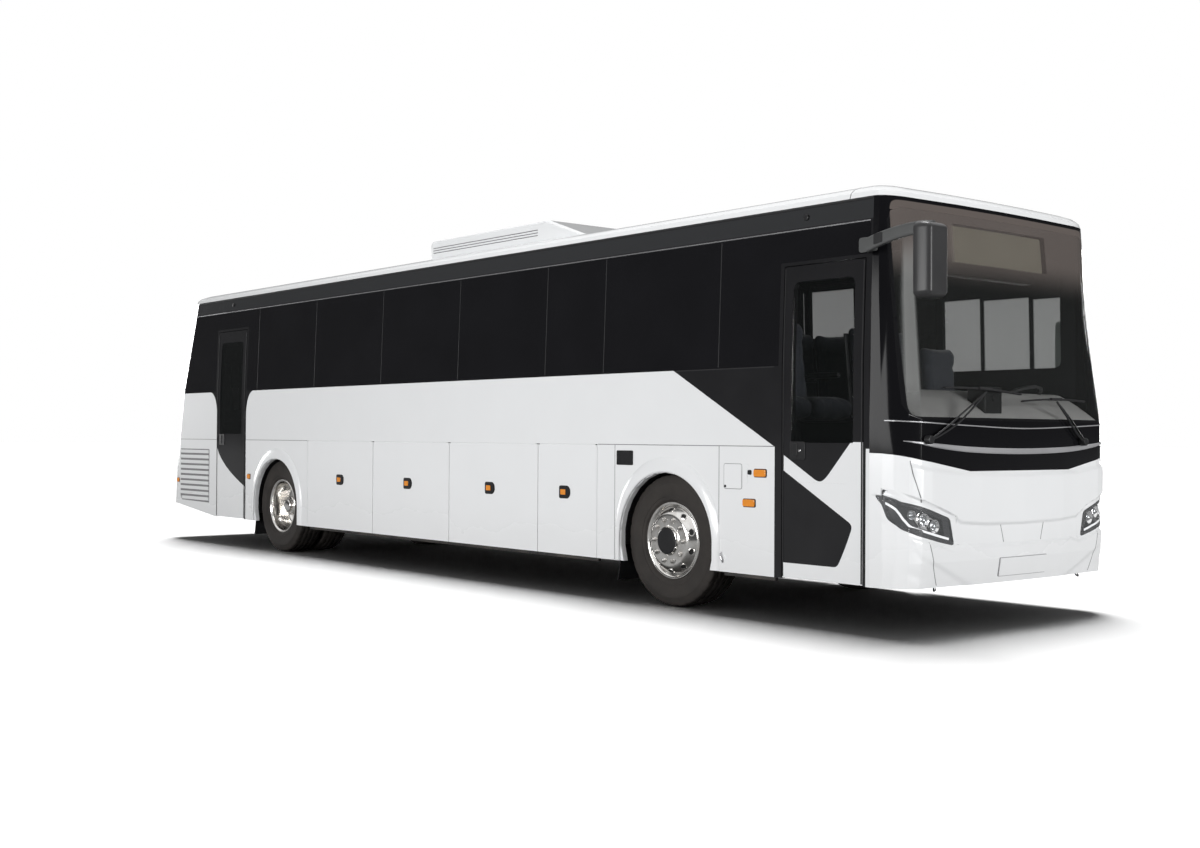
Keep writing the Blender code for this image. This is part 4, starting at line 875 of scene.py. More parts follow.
def on_side(outline: Array, side: Side, lift: float, depth: float, edge: float = 0.0) -> Shape:
    """A plate on a body side.

    Args:
        outline: its edge as (X, Z) pairs.
        side: which side.
        lift: how far its inner face stands off the skin, below 0 for inside.
        depth: its thickness outwards.
        edge: the radius of its edges.

    Returns:
        The plate, leaned in with the wall.
    """
    out = side.value
    outlines, heights = rings_of(np.asarray(outline, float), depth, edge)
    y = out * (HALF_WIDTH + lift) + out * heights[:, None]
    return leaned(grid(xyz(outlines[..., 0], y, outlines[..., 1]), wrap_v=True, caps=True))


def box_on_side(x: Span, z: Span, radius: float, side: Side, lift: float, depth: float, edge: float = 0.0) -> Shape:
    """An oblong plate with round corners on a body side; lift, depth and edge as on_side takes them."""
    return on_side(round_box_outline(x, z, radius), side, lift, depth, edge)


def line_on_side(path: Sequence[Span], side: Side, width: float, lift: float, steps: int = 2) -> Shape:
    """A thin strip on a body side along an (X, Z) path, with a low round section."""
    keys = np.asarray(path, float)
    t = np.linspace(0.0, len(keys) - 1.0, (len(keys) - 1) * steps + 1)
    x = np.interp(t, np.arange(len(keys)), keys[:, 0])
    z = np.interp(t, np.arange(len(keys)), keys[:, 1])
    line = xyz(x, side.value * HALF_WIDTH, z)
    section = np.array([(-0.5, -0.25), (-0.5, 0.4), (-0.3, 1.0), (0.3, 1.0), (0.5, 0.4), (0.5, -0.25)]) * (width, lift)
    return leaned(sweep(line, section, (0.0, side.value, 0.0)))


@dataclass(frozen=True)
class PressedForm:
    """How far the front panel is pressed out over its plain skin.

    Each line is a row of (distance from the middle, Z) points: the ledge over the lamps, the
    shelf under them, the scoop and the swale in the outer corners, and the panel's upper rim.
    """

    ledge: tuple[Span, ...] = (
        (0.0, 0.739), (0.44, 0.744), (0.70, 0.762), (0.80, 0.818), (0.86, 0.843), (1.06, 0.907), (1.18, 0.959),
        (1.24, 0.998), (1.40, 1.10)
    )
    shelf: tuple[Span, ...] = (
        (0.0, 0.593), (0.45, 0.598), (0.62, 0.602), (0.70, 0.588), (0.78, 0.583), (0.93, 0.612), (1.10, 0.655),
        (1.20, 0.70), (1.40, 0.80)
    )
    scoop: tuple[Span, ...] = (
        (0.0, 0.06), (0.63, 0.346), (0.95, 0.488), (1.09, 0.535), (1.145, 0.627), (1.24, 0.74), (1.40, 0.9)
    )
    swale: tuple[Span, ...] = ((0.0, 0.30), (1.05, 0.395), (1.17, 0.435), (1.28, 0.475), (1.40, 0.5))
    rim: tuple[Span, ...] = ((0.0, 1.10), (0.70, 1.112), (1.06, 1.15), (1.22, 1.19), (1.40, 1.26))
    ledge_rise: float = 0.017
    field_rise: float = 0.010
    corner_rise: float = 0.006

    def eased(self, value: Array, low: float, high: float) -> Array:
        """A step from 0 to 1 between two values of t, as 3 t squared less 2 t cubed."""
        t = np.clip((value - low) / (high - low), 0.0, 1.0)
        return t * t * (3.0 - 2.0 * t)

    def height(self, y: Array, z: Array) -> Array:
        """The rise over the plain skin: over the ledge, inside shelf and scoop, and round the swale."""
        out = np.abs(y)
        lines = (self.ledge, self.shelf, self.scoop, self.swale, self.rim)
        ledge, shelf, scoop, swale, rim = (z - np.interp(out, *np.asarray(line).T) for line in lines)
        rise = self.ledge_rise * self.eased(ledge, -0.009, 0.009) * self.eased(-rim, 0.003, 0.030)
        under = self.eased(-shelf, -0.009, 0.009)
        rise = rise + self.field_rise * under * self.eased(scoop, -0.022, 0.022)
        rise = rise + self.corner_rise * under * self.eased(out, 1.00, 1.12) * self.eased(-scoop, -0.01, 0.03) * (
            1.0 - np.exp(-((swale / 0.035) ** 2))
        )
        return rise * (1.0 - self.eased(out, 1.135, 1.205))


class Skin:
    """The outer face of the nose or the tail, as X over (Y, Z), with the solids' own facets."""

    ROWS = 300
    ACROSS = 600

    def __init__(self, levels: Sequence[tuple[float, float, float]], form: PressedForm | None = None) -> None:
        """Samples the plain skin on a grid of heights and widths.

        Between two levels each plan point moves in a straight line, and X is read off the plan
        by straight interpolation in Y.
        """
        self.form = form
        self.low, self.high = levels[0][0], levels[-1][0]
        self.ahead = math.copysign(1.0, levels[0][1])
        heights = np.linspace(self.low, self.high, self.ROWS)
        ys = np.linspace(-HALF_WIDTH, HALF_WIDTH, self.ACROSS)
        plans = np.stack([self._plan(*level) for level in levels])
        zs = np.array([level[0] for level in levels])
        table = []
        for z in heights:
            i = min(int(np.searchsorted(zs, z, side="right")) - 1, len(zs) - 2)
            share = (z - zs[i]) / (zs[i + 1] - zs[i])
            plan = plans[i] * (1 - share) + plans[i + 1] * share
            table.append(np.interp(ys, plan[:, 1], plan[:, 0]))
        self.table = np.stack(table)

    def _plan(self, z: float, middle: float, seam: float) -> Array:
        """Plan of one level: a quarter ellipse at each corner and a parabola between them."""
        radius, bow = END_CORNER, END_BOW
        half = HALF_WIDTH - float(lean_in(np.array(z)))
        flat = half - radius
        corner = middle - self.ahead * bow
        t = np.radians(np.linspace(0.0, 90.0, 6))
        near = np.stack([seam + (corner - seam) * np.sin(t), -(flat + radius * np.cos(t))], axis=1)
        y = -flat + 2 * flat * np.arange(1, 4) / 4
        middle_part = np.stack([corner + self.ahead * bow * (1 - (y / flat) ** 2), y], axis=1)
        return np.vstack([near, middle_part, near[::-1] * (1.0, -1.0)])

    def x(self, y: Array, z: Array) -> Array:
        """X of the skin at points (y, z), read bilinearly off the grid."""
        row = np.clip((np.asarray(z, float) - self.low) / (self.high - self.low), 0, 1) * (self.ROWS - 1.001)
        column = np.clip((np.asarray(y, float) + HALF_WIDTH) / (2 * HALF_WIDTH), 0, 1) * (self.ACROSS - 1.001)
        i, j = row.astype(int), column.astype(int)
        a, b = row - i, column - j
        t = self.table
        return (t[i, j] * (1 - b) + t[i, j + 1] * b) * (1 - a) + (t[i + 1, j] * (1 - b) + t[i + 1, j + 1] * b) * a

    def normal(self, y: Array, z: Array) -> Array:
        """The outward direction: (1, -dX/dY, -dX/dZ) made of unit length, by central differences."""
        step = 0.02
        slope_y = (self.x(y + step, z) - self.x(y - step, z)) / (2 * step)
        slope_z = (self.x(y, z + step) - self.x(y, z - step)) / (2 * step)
        out = np.stack([np.ones_like(slope_y), -slope_y, -slope_z], axis=-1) * self.ahead
        return out / np.linalg.norm(out, axis=-1, keepdims=True)

    def at(self, y: Array, z: Array, lift: Array | float = 0.0) -> Array:
        """Points on the skin and its pressed form, raised along the outward direction."""
        y, z = np.broadcast_arrays(np.asarray(y, float), np.asarray(z, float))
        base = xyz(self.x(y, z), y, z)
        rise = np.asarray(lift, float) + (self.form.height(y, z) if self.form else 0.0)
        return base + self.normal(y, z) * rise[..., None]

    def strip(self, path: Sequence[Span], width: float | Array, lift: float, count: int = 60) -> Shape:
        """A strip along a smooth (Y, Z) path on the skin, with a low round section."""
        line = smooth_path([(a, b, 0.0) for a, b in path], count)[:, :2]
        tangent = np.gradient(line, axis=0)
        tangent /= np.linalg.norm(tangent, axis=1, keepdims=True)
        across = np.stack([-tangent[:, 1], tangent[:, 0]], axis=1)
        widths = np.broadcast_to(np.asarray(width, float), (count,))
        offsets = np.array([-0.5, -0.5, -0.3, 0.3, 0.5, 0.5])
        lifts = np.array([-0.25, 0.4, 1.0, 1.0, 0.4, -0.25]) * lift
        places = line[:, None, :] + across[:, None, :] * (offsets[None, :] * widths[:, None])[..., None]
        return grid(self.at(places[..., 0], places[..., 1], lifts), wrap_v=True, caps=True)

    def panel(self, outline: Sequence[Span], lift: float, depth: float, edge: float = 0.003, rows: int = 14) -> Shape:
        """A plate that lies on the skin.

        Every ring of the outline is drawn in towards its middle in rows, and each point is put
        on the skin at its own lift, so the plate bends with the skin.
        """
        shape = np.asarray(outline, float)
        outlines, heights = rings_of(shape, depth, edge)
        middle = shape.mean(axis=0)
        shares = np.linspace(1.0, 0.0, rows)[1:]
        top = middle + (outlines[-1] - middle) * shares[:, None, None]
        under = middle + (outlines[0] - middle) * shares[::-1][:, None, None]
        rings = np.concatenate([under, outlines, top])
        lifts = np.concatenate([np.zeros(rows - 1), heights, np.full(rows - 1, depth)]) + lift
        return grid(self.at(rings[..., 0], rings[..., 1], lifts[:, None]), wrap_v=True)


NOSE = Skin(NOSE_LEVELS, PressedForm())
TAIL = Skin(TAIL_LEVELS)


def fine_outline(points: Sequence[Span], corner: float, steps: int = 4, spacing: float = 0.04) -> Array:
    """An outline with rounded corners and evenly many points along its sides.

    Each corner becomes a quadratic curve from corner before it to corner after it, and each
    side is filled at about the spacing.
    """
    keys = np.asarray(points, float)
    out: list[Array] = []
    for before, here, after in zip(np.roll(keys, 1, axis=0), keys, np.roll(keys, -1, axis=0)):
        back, on = before - here, after - here
        reach = min(corner, np.linalg.norm(back) * 0.45, np.linalg.norm(on) * 0.45)
        start = here + back / np.linalg.norm(back) * reach
        end = here + on / np.linalg.norm(on) * reach
        t = np.linspace(0.0, 1.0, steps + 1)[:, None]
        out.append((1 - t) ** 2 * start + 2 * t * (1 - t) * here + t**2 * end)
    full: list[Array] = []
    for i, arc in enumerate(out):
        full.append(arc)
        start, end = arc[-1], out[(i + 1) % len(out)][0]
        count = int(np.linalg.norm(end - start) / spacing)
        if count > 1:
            full.append(start + (end - start) * (np.arange(1, count) / count)[:, None])
    return np.vstack(full)


# ---- Placing pieces


class Workshop:
    """Turns shapes into pieces that ride on the bodies."""

    def __init__(self, finishes: Finishes) -> None:
        """Keeps the finishes."""
        self.finishes = finishes

    def piece(
        self, name: str, shapes: Shape | Sequence[Shape], material: bpy.types.Material, body: str = "body",
        sharp: float = 32.0, replaces: Sequence[str] = ()
    ) -> bpy.types.Object:
        """Makes one piece.

        Args:
            name: the object's name.
            shapes: closed shapes.
            material: its finish.
            body: the body it moves with.
            sharp: the angle in degrees over which an edge stays sharp.
            replaces: the CAD nodes it stands for.

        Returns:
            The object, at the origin with its place in its mesh.
        """
        whole = shapes if isinstance(shapes, Shape) else merged(list(shapes))
        mesh = bpy.data.meshes.new(name)
        mesh.from_pydata(whole.points.tolist(), [], whole.faces)
        bm = bmesh.new()
        bm.from_mesh(mesh)
        bmesh.ops.remove_doubles(bm, verts=bm.verts, dist=1e-6)
        bmesh.ops.recalc_face_normals(bm, faces=bm.faces)
        bm.to_mesh(mesh)
        bm.free()
        mesh.polygons.foreach_set("use_smooth", np.ones(len(mesh.polygons), bool))
        mesh.set_sharp_from_angle(angle=math.radians(sharp))
        mesh.materials.append(material)
        made = bpy.data.objects.new(name, mesh)
        bpy.context.scene.collection.objects.link(made)
        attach(made, body)
        if replaces:
            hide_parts(*replaces)
        if sharp < 180.0:
            made.modifiers.new("face weights", "WEIGHTED_NORMAL").keep_sharp = True
        log.info("piece %s: %d faces on %s", name, len(mesh.polygons), body)
        return made

    def smoothed(self, node: str, material: bpy.types.Material, body: str = "body") -> None:
        """A copy of a CAD mesh with its close facets shaded as one curve, in place of the node.

        Args:
            node: the CAD node.
            material: its finish.
            body: the body it moves with.
        """
        self.piece(f"{node}_skin", self.taken(node), material, body, 24.0, [node])

    def taken(self, node: str, planes: Mapping[int, Array] | None = None, ahead: float = 0.5) -> Shape:
        """A CAD mesh as a shape, with its faces that look ahead cut through at planes.

        Args:
            node: the CAD node.
            planes: places of the cuts along axis 1 or 2.
            ahead: least share of a cut face's normal along X.

        Returns:
            The shape in the shared frame.
        """
        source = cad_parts[node]
        bm = bmesh.new()
        bm.from_mesh(source.data)
        bm.transform(source.matrix_world)
        bmesh.ops.remove_doubles(bm, verts=bm.verts, dist=1e-6)
        bm.normal_update()
        for face in bm.faces:
            face.material_index = int(face.normal.x > ahead)
        for axis, places in (planes or {}).items():
            way = Vector(np.eye(3)[axis])
            for place in places:
                faces = [face for face in bm.faces if face.material_index]
                edges = {edge for face in faces for edge in face.edges}
                verts = {vert for edge in edges for vert in edge.verts}
                bmesh.ops.bisect_plane(bm, geom=[*verts, *edges, *faces], dist=1e-5, plane_co=way * place, plane_no=way)
        bm.verts.index_update()
        shape = Shape(
            np.array([vert.co[:] for vert in bm.verts]), [tuple(vert.index for vert in face.verts) for face in bm.faces]
        )
        bm.free()
        return shape

    def dress(self, node: str, material: bpy.types.Material) -> None:
        """Gives a CAD node a finish on every material slot."""
        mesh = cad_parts[node].data
        if not mesh.materials:
            mesh.materials.append(material)
        for i in range(len(mesh.materials)):
            mesh.materials[i] = material


# ---- Sub-assemblies


@dataclass
class Studio:
    """Camera, floor, world and lamps."""

    place: tuple[float, float, float] = (11.7041, -8.7782, 1.3385)
    yaw: float = 2.4489
    pitch: float = 0.0084
    roll: float = 0.0055
    lens: float = 42.66
    ambient: float = 0.07
    dark_horizon: float = 0.07
    bright_sky: float = 0.95
    sun_strength: float = 2.9
    sun_angle: float = 24.0
    sun_from: tuple[float, float, float] = (-0.26, 0.20, 1.0)
    side_power: float = 2300.0
    front_power: float = 1900.0
    rear_power: float = 800.0
    floor_grey: float = 0.38
    floor_seen: float = 1.3

    def build(self) -> None:
        """Makes the scene round the coach."""
        self.camera()
        self.world()
        spared = self.floor()
        self.sun()
        side = (self.side_power, (14.0, 4.0), spared)
        self.lamp("side", (3.0, -17.0, 3.2), (0.5, 0.0, 1.7), *side)
        self.lamp("front", (20.0, 1.5, 3.0), (5.6, 0.0, 1.6), self.front_power, (9.0, 4.0), spared)
        self.lamp("far_side", (-3.0, 17.0, 3.2), (0.0, 0.0, 1.7), *side)
        self.lamp("rear", (-20.0, -1.5, 3.0), (-5.6, 0.0, 1.6), self.rear_power, (9.0, 4.0), spared)

    def camera(self) -> None:
        """The camera: its axes are worked out from yaw, pitch and roll."""
        ahead = Vector(
            (math.cos(self.yaw) * math.cos(self.pitch), math.sin(self.yaw) * math.cos(self.pitch), math.sin(self.pitch))
        )
        right = ahead.cross(Vector((0, 0, 1))).normalized()
        up = right.cross(ahead)
        c, s = math.cos(self.roll), math.sin(self.roll)
        axes = (right * c + up * s, up * c - right * s, -ahead)
        data = bpy.data.cameras.new("camera")
        data.lens = self.lens
        data.sensor_width = 36.0
        data.clip_end = 400.0
        camera = bpy.data.objects.new("camera", data)
        camera.matrix_world = Matrix.Translation(self.place) @ Matrix(axes).transposed().to_4x4()
        bpy.context.scene.collection.objects.link(camera)
        bpy.context.scene.camera = camera

    def world(self) -> None:
        """White behind what the camera sees; a dark horizon under a bright sky in reflections."""
        net = Net("studio", bpy.data.worlds.new("studio"))
        path = [
            net.node("ShaderNodeLightPath", out=word)
            for word in ("Is Camera Ray", "Is Transmission Ray", "Is Glossy Ray")
        ]
        way = net.node("ShaderNodeTexCoord", out="Generated")
        split = net.node("ShaderNodeSeparateXYZ", inputs={0: way}, out=2)
        sky = self.dark_horizon + (self.bright_sky - self.dark_horizon) * split.above(0.42, 0.36)
        seen = path[0].most(path[1])
        lit = self.ambient + (sky - self.ambient) * path[2]
        strength = lit + (1.0 - lit) * seen
        net.done(net.node("ShaderNodeBackground", inputs={"Color": (1.0, 1.0, 1.0), "Strength": strength}))
        bpy.context.scene.world = net.owner

    def floor(self) -> bpy.types.Collection:
        """A plain pale floor: grey to other rays, and white where the sun reaches it to the camera.

        Returns:
            A collection that spares the floor from any lamp given it as its receivers.
        """
        net = Net("studio floor")
        seen = net.node("ShaderNodeLightPath", out="Is Camera Ray")
        grey, white = (
            net.node("ShaderNodeBsdfDiffuse", inputs={"Color": (shade, shade, shade)})
            for shade in (self.floor_grey, self.floor_seen)
        )
        material = net.done(net.node("ShaderNodeMixShader", inputs={0: seen, 1: grey, 2: white}))
        mesh = bpy.data.meshes.new("studio floor")
        reach = 180.0
        mesh.from_pydata(
            [(-reach, -reach, 0), (reach, -reach, 0), (reach, reach, 0), (-reach, reach, 0)], [], [(0, 1, 2, 3)]
        )
        mesh.materials.append(material)
        floor = bpy.data.objects.new("studio_floor", mesh)
        bpy.context.scene.collection.objects.link(floor)
        spared = bpy.data.collections.new("spared by the lamps")
        spared.objects.link(floor)
        spared.collection_objects[0].light_linking.link_state = "EXCLUDE"
        return spared

    def sun(self) -> None:
        """A broad sun from above and a little behind, which throws a soft shadow forwards."""
        data = bpy.data.lights.new("sun", "SUN")
        data.energy = self.sun_strength
        data.angle = math.radians(self.sun_angle)
        lamp = bpy.data.objects.new("sun", data)
        lamp.matrix_world = (-Vector(self.sun_from)).to_track_quat("-Z", "Y").to_matrix().to_4x4()
        bpy.context.scene.collection.objects.link(lamp)

    def lamp(
        self, name: str, place: Sequence[float], target: Sequence[float], energy: float, size: Span,
        spared: bpy.types.Collection
    ) -> None:
        """A soft oblong lamp that faces a point and leaves the floor, and so the shadow, to the sun."""
        data = bpy.data.lights.new(name, "AREA")
        data.energy = energy
        data.shape = "RECTANGLE"
        data.size, data.size_y = size
        lamp = bpy.data.objects.new(name, data)
        way = Vector(target) - Vector(place)
        lamp.matrix_world = Matrix.Translation(place) @ way.to_track_quat("-Z", "Y").to_matrix().to_4x4()
        lamp.light_linking.receiver_collection = spared
        bpy.context.scene.collection.objects.link(lamp)


@dataclass
class Shell:
    """Finishes of the carried-over solids: walls, glass, roof, floor and running gear."""

    flaps: int = 4
    skin_reach: float = 0.004
    front_ahead: float = 0.25

    def build(self, shop: Workshop) -> None:
        """Dresses the CAD nodes."""
        f = shop.finishes
        plain = {
            "right_side_glass": f.tint, "left_side_glass": f.left_tint, "front_door": f.front_door,
            "rear_door": f.rear_door, "front_door_arms": f.satin, "rear_door_arms": f.satin, "underframe": f.chassis,
            "floor": f.vinyl, "front_floor": f.vinyl, "rear_floor": f.vinyl, "cab_floor": f.vinyl,
            "front_stairs": f.vinyl, "rear_stairs": f.vinyl, "front_axle": f.chassis, "rear_axle": f.chassis,
            "engine": f.cast, "dashboard": f.dash, "passenger_seats": f.cloth, "driver_seat": f.cloth
        }
        for node, material in plain.items():
            shop.dress(node, material)
        curved = (
            ("rear_panel", f.paint, Slot.PAINT), ("roof", f.paint, Slot.PAINT), ("roof_ac_unit", f.paint, Slot.PAINT),
            ("windscreen_surround", f.band, Slot.BLACK), ("windscreen", f.screen, Slot.SCREEN),
            ("rear_window", f.tint, Slot.TINT)
        )
        for node, material, slot in curved:
            shop.dress(node, material)
            shop.smoothed(node, material)
        shop.dress("front_panel", f.paint)
        self.front(shop)
        shop.dress("engine_door", f.paint)
        shop.smoothed("engine_door", f.paint, "engine_door")
        for side in Side:
            word = side.word
            shop.dress(f"{word}_side_wall", f.side[side])
            for i in range(1, self.flaps + 1):
                shop.dress(f"luggage_flap_{word}_{i}", f.paint)
            for name, material in (
                ("front_knuckle", f.cast), ("front_tyre", f.rubber), ("rear_outer_tyre", f.rubber),
                ("rear_inner_tyre", f.rubber), ("front_rim", f.alloy), ("rear_rims", f.alloy), ("headlamp", f.clear),
                ("tail_lamp", f.red), ("mirror", f.mirror_shell)
            ):
                node = f"{name}_{word}"
                shop.dress(node, material)

    def front(self, shop: Workshop) -> None:
        """The front panel: its solid's mesh, cut finely, with the points of its outer face pressed out."""
        panel = shop.taken(
            "front_panel", {1: np.arange(-1.254, 1.2541, 0.022), 2: np.arange(0.345, 1.19, 0.0105)}, self.front_ahead
        )
        x, y, z = panel.points.T
        outer = np.abs(x - NOSE.x(y, z)) < self.skin_reach
        y, z = y[outer], z[outer]
        points = panel.points.copy()
        points[outer] += NOSE.normal(y, z) * NOSE.form.height(y, z)[:, None]
        shop.piece(
            "front_panel_skin", Shape(points, panel.faces), shop.finishes.paint, sharp=50.0,
            replaces=["front_panel"]
        )


@dataclass
class SideTrim:
    """What stands on the body sides: mouldings, seams, handles, markers, vent and louvre."""

    pillars: tuple[float, ...] = (4.05, 2.70, 1.91, 0.56, -0.83, -2.23, -3.60)
    left_extra: tuple[float, ...] = (-4.70,)
    handle_x: tuple[float, ...] = (2.20, 1.10, -0.30, -1.64)
    seam_x: tuple[float, ...] = (4.064, 2.856)
    louvre_x: Span = (-5.735, -4.885)
    louvre_z: Span = (0.50, 1.15)
    slats: int = 10
    arch_in: float = 0.537
    arch_out: float = 0.610
    arch_lift: float = 0.050
    arch_rise: float = 0.024

    def build(self, shop: Workshop) -> None:
        """Builds both sides."""
        for side in Side:
            self.mouldings(shop, side)
            self.seams(shop, side)
            self.arches(shop, side)
            self.handles(shop, side)
            self.markers(shop, side)
            self.louvre(shop, side)
            self.service(shop, side)

    def mouldings(self, shop: Workshop, side: Side) -> None:
        """The bright drip rail, the dark gutter over it and the seams between panes."""
        rail = line_on_side([(-5.345, RAIL_Z), (5.480, RAIL_Z)], side, 0.011, 0.006, 2)
        shop.piece(f"drip_rail_{side.word}", rail, shop.finishes.bright)
        gutter = line_on_side([(-5.30, 2.962), (5.49, 2.962)], side, 0.016, 0.005, 2)
        shop.piece(f"roof_gutter_{side.word}", gutter, shop.finishes.rubber_trim)
        places = self.pillars + (() if side is Side.RIGHT else self.left_extra)
        lines = [line_on_side([(x, BELT_Z + 0.008), (x, RAIL_Z - 0.012)], side, 0.008, 0.0008, 2) for x in places]
        shop.piece(f"pane_seams_{side.word}", lines, shop.finishes.pane_line)

    def seams(self, shop: Workshop, side: Side) -> None:
        """Grooves between the fixed lower panels, drawn as thin dark strips."""
        end = 4.63 if side is Side.RIGHT else 5.50
        lines = [line_on_side([(x, SKIRT_Z + 0.005), (x, SEAM_Z)], side, 0.006, 0.0008, 1) for x in self.seam_x]
        lines.append(line_on_side([(2.64, SEAM_Z), (end, SEAM_Z)], side, 0.006, 0.0008, 2))
        rear = [(-3.88, SEAM_Z), (-2.37, SEAM_Z)] if side is Side.RIGHT else [(-5.76, SEAM_Z), (-2.37, SEAM_Z)]
        lines.append(line_on_side(rear, side, 0.006, 0.0008, 2))
        if side is Side.RIGHT:
            lines.append(line_on_side([(-5.76, SEAM_Z), (-4.68, SEAM_Z)], side, 0.006, 0.0008, 2))
        shop.piece(f"panel_seams_{side.word}", lines, shop.finishes.groove)
        wedge = line_on_side([(3.58, BELT_Z - 0.006), (4.62, BELT_Z - 0.006)], side, 0.006, 0.0012, 1)
        shop.piece(f"wedge_line_{side.word}", wedge, shop.finishes.pane_line)

    def arch_line(self, radius: float, rise: float) -> Array:
        """An upright leg, a half circle whose middle lies that far over the axle, and a leg down again."""
        t = np.linspace(0.0, math.pi, 48)
        foot = np.linspace(SKIRT_Z + 0.003, AXLE_Z, 6)
        x = np.concatenate([np.full(6, radius), radius * np.cos(t), np.full(6, -radius)])
        z = np.concatenate([foot, AXLE_Z + rise + radius * np.sin(t), foot[::-1]])
        return np.stack([x, z], axis=1)

    def arches(self, shop: Workshop, side: Side) -> None:
        """A raised lip round each wheel arch: an oval section between an inner and an outer line."""
        inner, outer = self.arch_line(self.arch_in, 0.0), self.arch_line(self.arch_out, self.arch_lift)
        section = np.array(
            [(0.0, -0.5), (0.0, 0.7), (0.08, 1.0), (0.25, 1.0), (0.6, 0.75), (0.9, 0.25), (1.0, -0.2), (0.95, -0.5)]
        )
        share = section[:, :1]
        flat = inner[:, None] * (1.0 - share) + outer[:, None] * share
        y = side.value * (HALF_WIDTH + section[:, 1] * self.arch_rise)
        lips = [
            grid(xyz(flat[..., 0] + axle, y, flat[..., 1]), wrap_v=True, caps=True)
            for axle in (FRONT_AXLE_X, REAR_AXLE_X)
        ]
        shop.piece(f"arch_lips_{side.word}", lips, shop.finishes.paint)

    def handles(self, shop: Workshop, side: Side) -> None:
        """A dark bezel with a lock paddle and an amber reflector on each luggage flap; the reflector glows faintly,
        which is painted light.
        """
        for i, x in enumerate(self.handle_x, 1):
            body = f"luggage_flap_{side.word}_{i}"
            outline = fine_outline(
                [
                    (x - 0.075, 0.805), (x + 0.045, 0.805), (x + 0.075, 0.835), (x + 0.075, 0.885), (x + 0.045, 0.915),
                    (x - 0.075, 0.915)
                ],
                0.02
            )
            bezel = on_side(outline, side, -0.002, 0.009, 0.004)
            well = on_side(inset(outline, 0.012), side, 0.004, 0.0045, 0.001)
            shop.piece(f"flap_bezel_{side.word}_{i}", [bezel, well], shop.finishes.satin, body)
            box = box_on_side((x - 0.048, x + 0.018), (0.838, 0.884), 0.006, side, 0.006, 0.008, 0.003)
            # Painted light: the amber lens finish makes this reflector glow faintly.
            shop.piece(f"flap_marker_{side.word}_{i}", box, shop.finishes.amber, body)

    def markers(self, shop: Workshop, side: Side) -> None:
        """Amber side lamps and a small black sensor beside the filler."""
        spots = ((4.492, 1.074, 0.060), (4.381, 0.853, 0.060), (-3.79, 0.84, 0.035), (-5.80, 0.75, 0.030))
        lamps, feet = [], []
        for x, z, half in spots:
            lamps.append(box_on_side((x - half, x + half), (z - 0.026, z + 0.026), 0.012, side, 0.002, 0.012, 0.005))
            feet.append(
                box_on_side(
                    (x - half - 0.006, x + half + 0.006), (z - 0.032, z + 0.032), 0.014, side, -0.002, 0.005, 0.002
                )
            )
        shop.piece(f"side_markers_{side.word}", lamps, shop.finishes.amber)
        sensor = box_on_side((4.368, 4.404), (1.060, 1.096), 0.012, side, -0.002, 0.012, 0.004)
        shop.piece(f"marker_feet_{side.word}", [*feet, sensor], shop.finishes.satin)

    def louvre(self, shop: Workshop, side: Side) -> None:
        """The engine-bay grille: a flat dark grey sheet of painted shade for the recess behind it, with slats that lean
        down and out.
        """
        (x0, x1), (z0, z1) = self.louvre_x, self.louvre_z
        # Painted shade: a flat dark grey sheet, flush with the skin, stands for the dark recess behind the slats.
        back = on_side(
            fine_outline([(x0 + 0.05, z0), (x1, z0 - 0.01), (x1, z1), (x0, z1), (x0, z0 + 0.05)], 0.008), side, -0.001,
            0.002
        )
        shop.piece(f"louvre_back_{side.word}", back, shop.finishes.groove)
        pitch = (z1 - z0) / self.slats
        slats = []
        for i in range(self.slats):
            z = z0 + (i + 0.5) * pitch
            start = x0 + (0.045 if i == 0 else 0.0)
            section = np.array([(-0.5, 0.0), (-0.5, 0.9), (-0.1, 1.0), (0.5, 0.25), (0.5, 0.0)]) * (pitch * 0.62, 0.011)
            path = xyz([start + 0.01, x1 - 0.01], side.value * HALF_WIDTH, z)
            flip = np.array([-side.value, 1.0]) * section
            slats.append(sweep(path, flip, (0.0, side.value, 0.0)))
        shop.piece(f"louvre_slats_{side.word}", slats, shop.finishes.paint)

    def service(self, shop: Workshop, side: Side) -> None:
        """The filler flap with its hinge, the black vent over the front arch and the tap hook."""
        ring = round_box_outline((4.119, 4.302), (0.954, 1.136), 0.014)
        flap = on_side(ring, side, -0.001, 0.0035, 0.0015)
        edge = on_side(inset(ring, -0.004), side, -0.001, 0.0018)
        hinge = box_on_side((4.330, 4.361), (1.000, 1.140), 0.006, side, -0.001, 0.004, 0.002)
        shop.piece(f"filler_flap_{side.word}", [flap, hinge], shop.finishes.paint)
        shop.piece(f"filler_edge_{side.word}", edge, shop.finishes.groove)
        latch = box_on_side((4.124, 4.142), (0.960, 0.980), 0.005, side, 0.001, 0.006, 0.002)
        frame_ring = box_on_side((2.884, 3.082), (1.105, 1.223), 0.010, side, -0.001, 0.009, 0.003)
        bars = [
            box_on_side((2.897, 3.069), (z, z + 0.006), 0.002, side, 0.006, 0.004, 0.001)
            for z in np.linspace(1.118, 1.204, 7)
        ]
        shop.piece(f"arch_vent_{side.word}", [latch, frame_ring, *bars], shop.finishes.satin)
        hook = smooth_path(
            [(4.095, 1.276, 0.475), (4.095, 1.290, 0.455), (4.110, 1.291, 0.425), (4.110, 1.280, 0.400)], 12
        ) * np.array([1.0, side.value, 1.0])
        shop.piece(
            f"tow_hook_{side.word}", sweep(hook, circle(0.006, 8), (1.0, 0.0, 0.0)), shop.finishes.bright,
        )


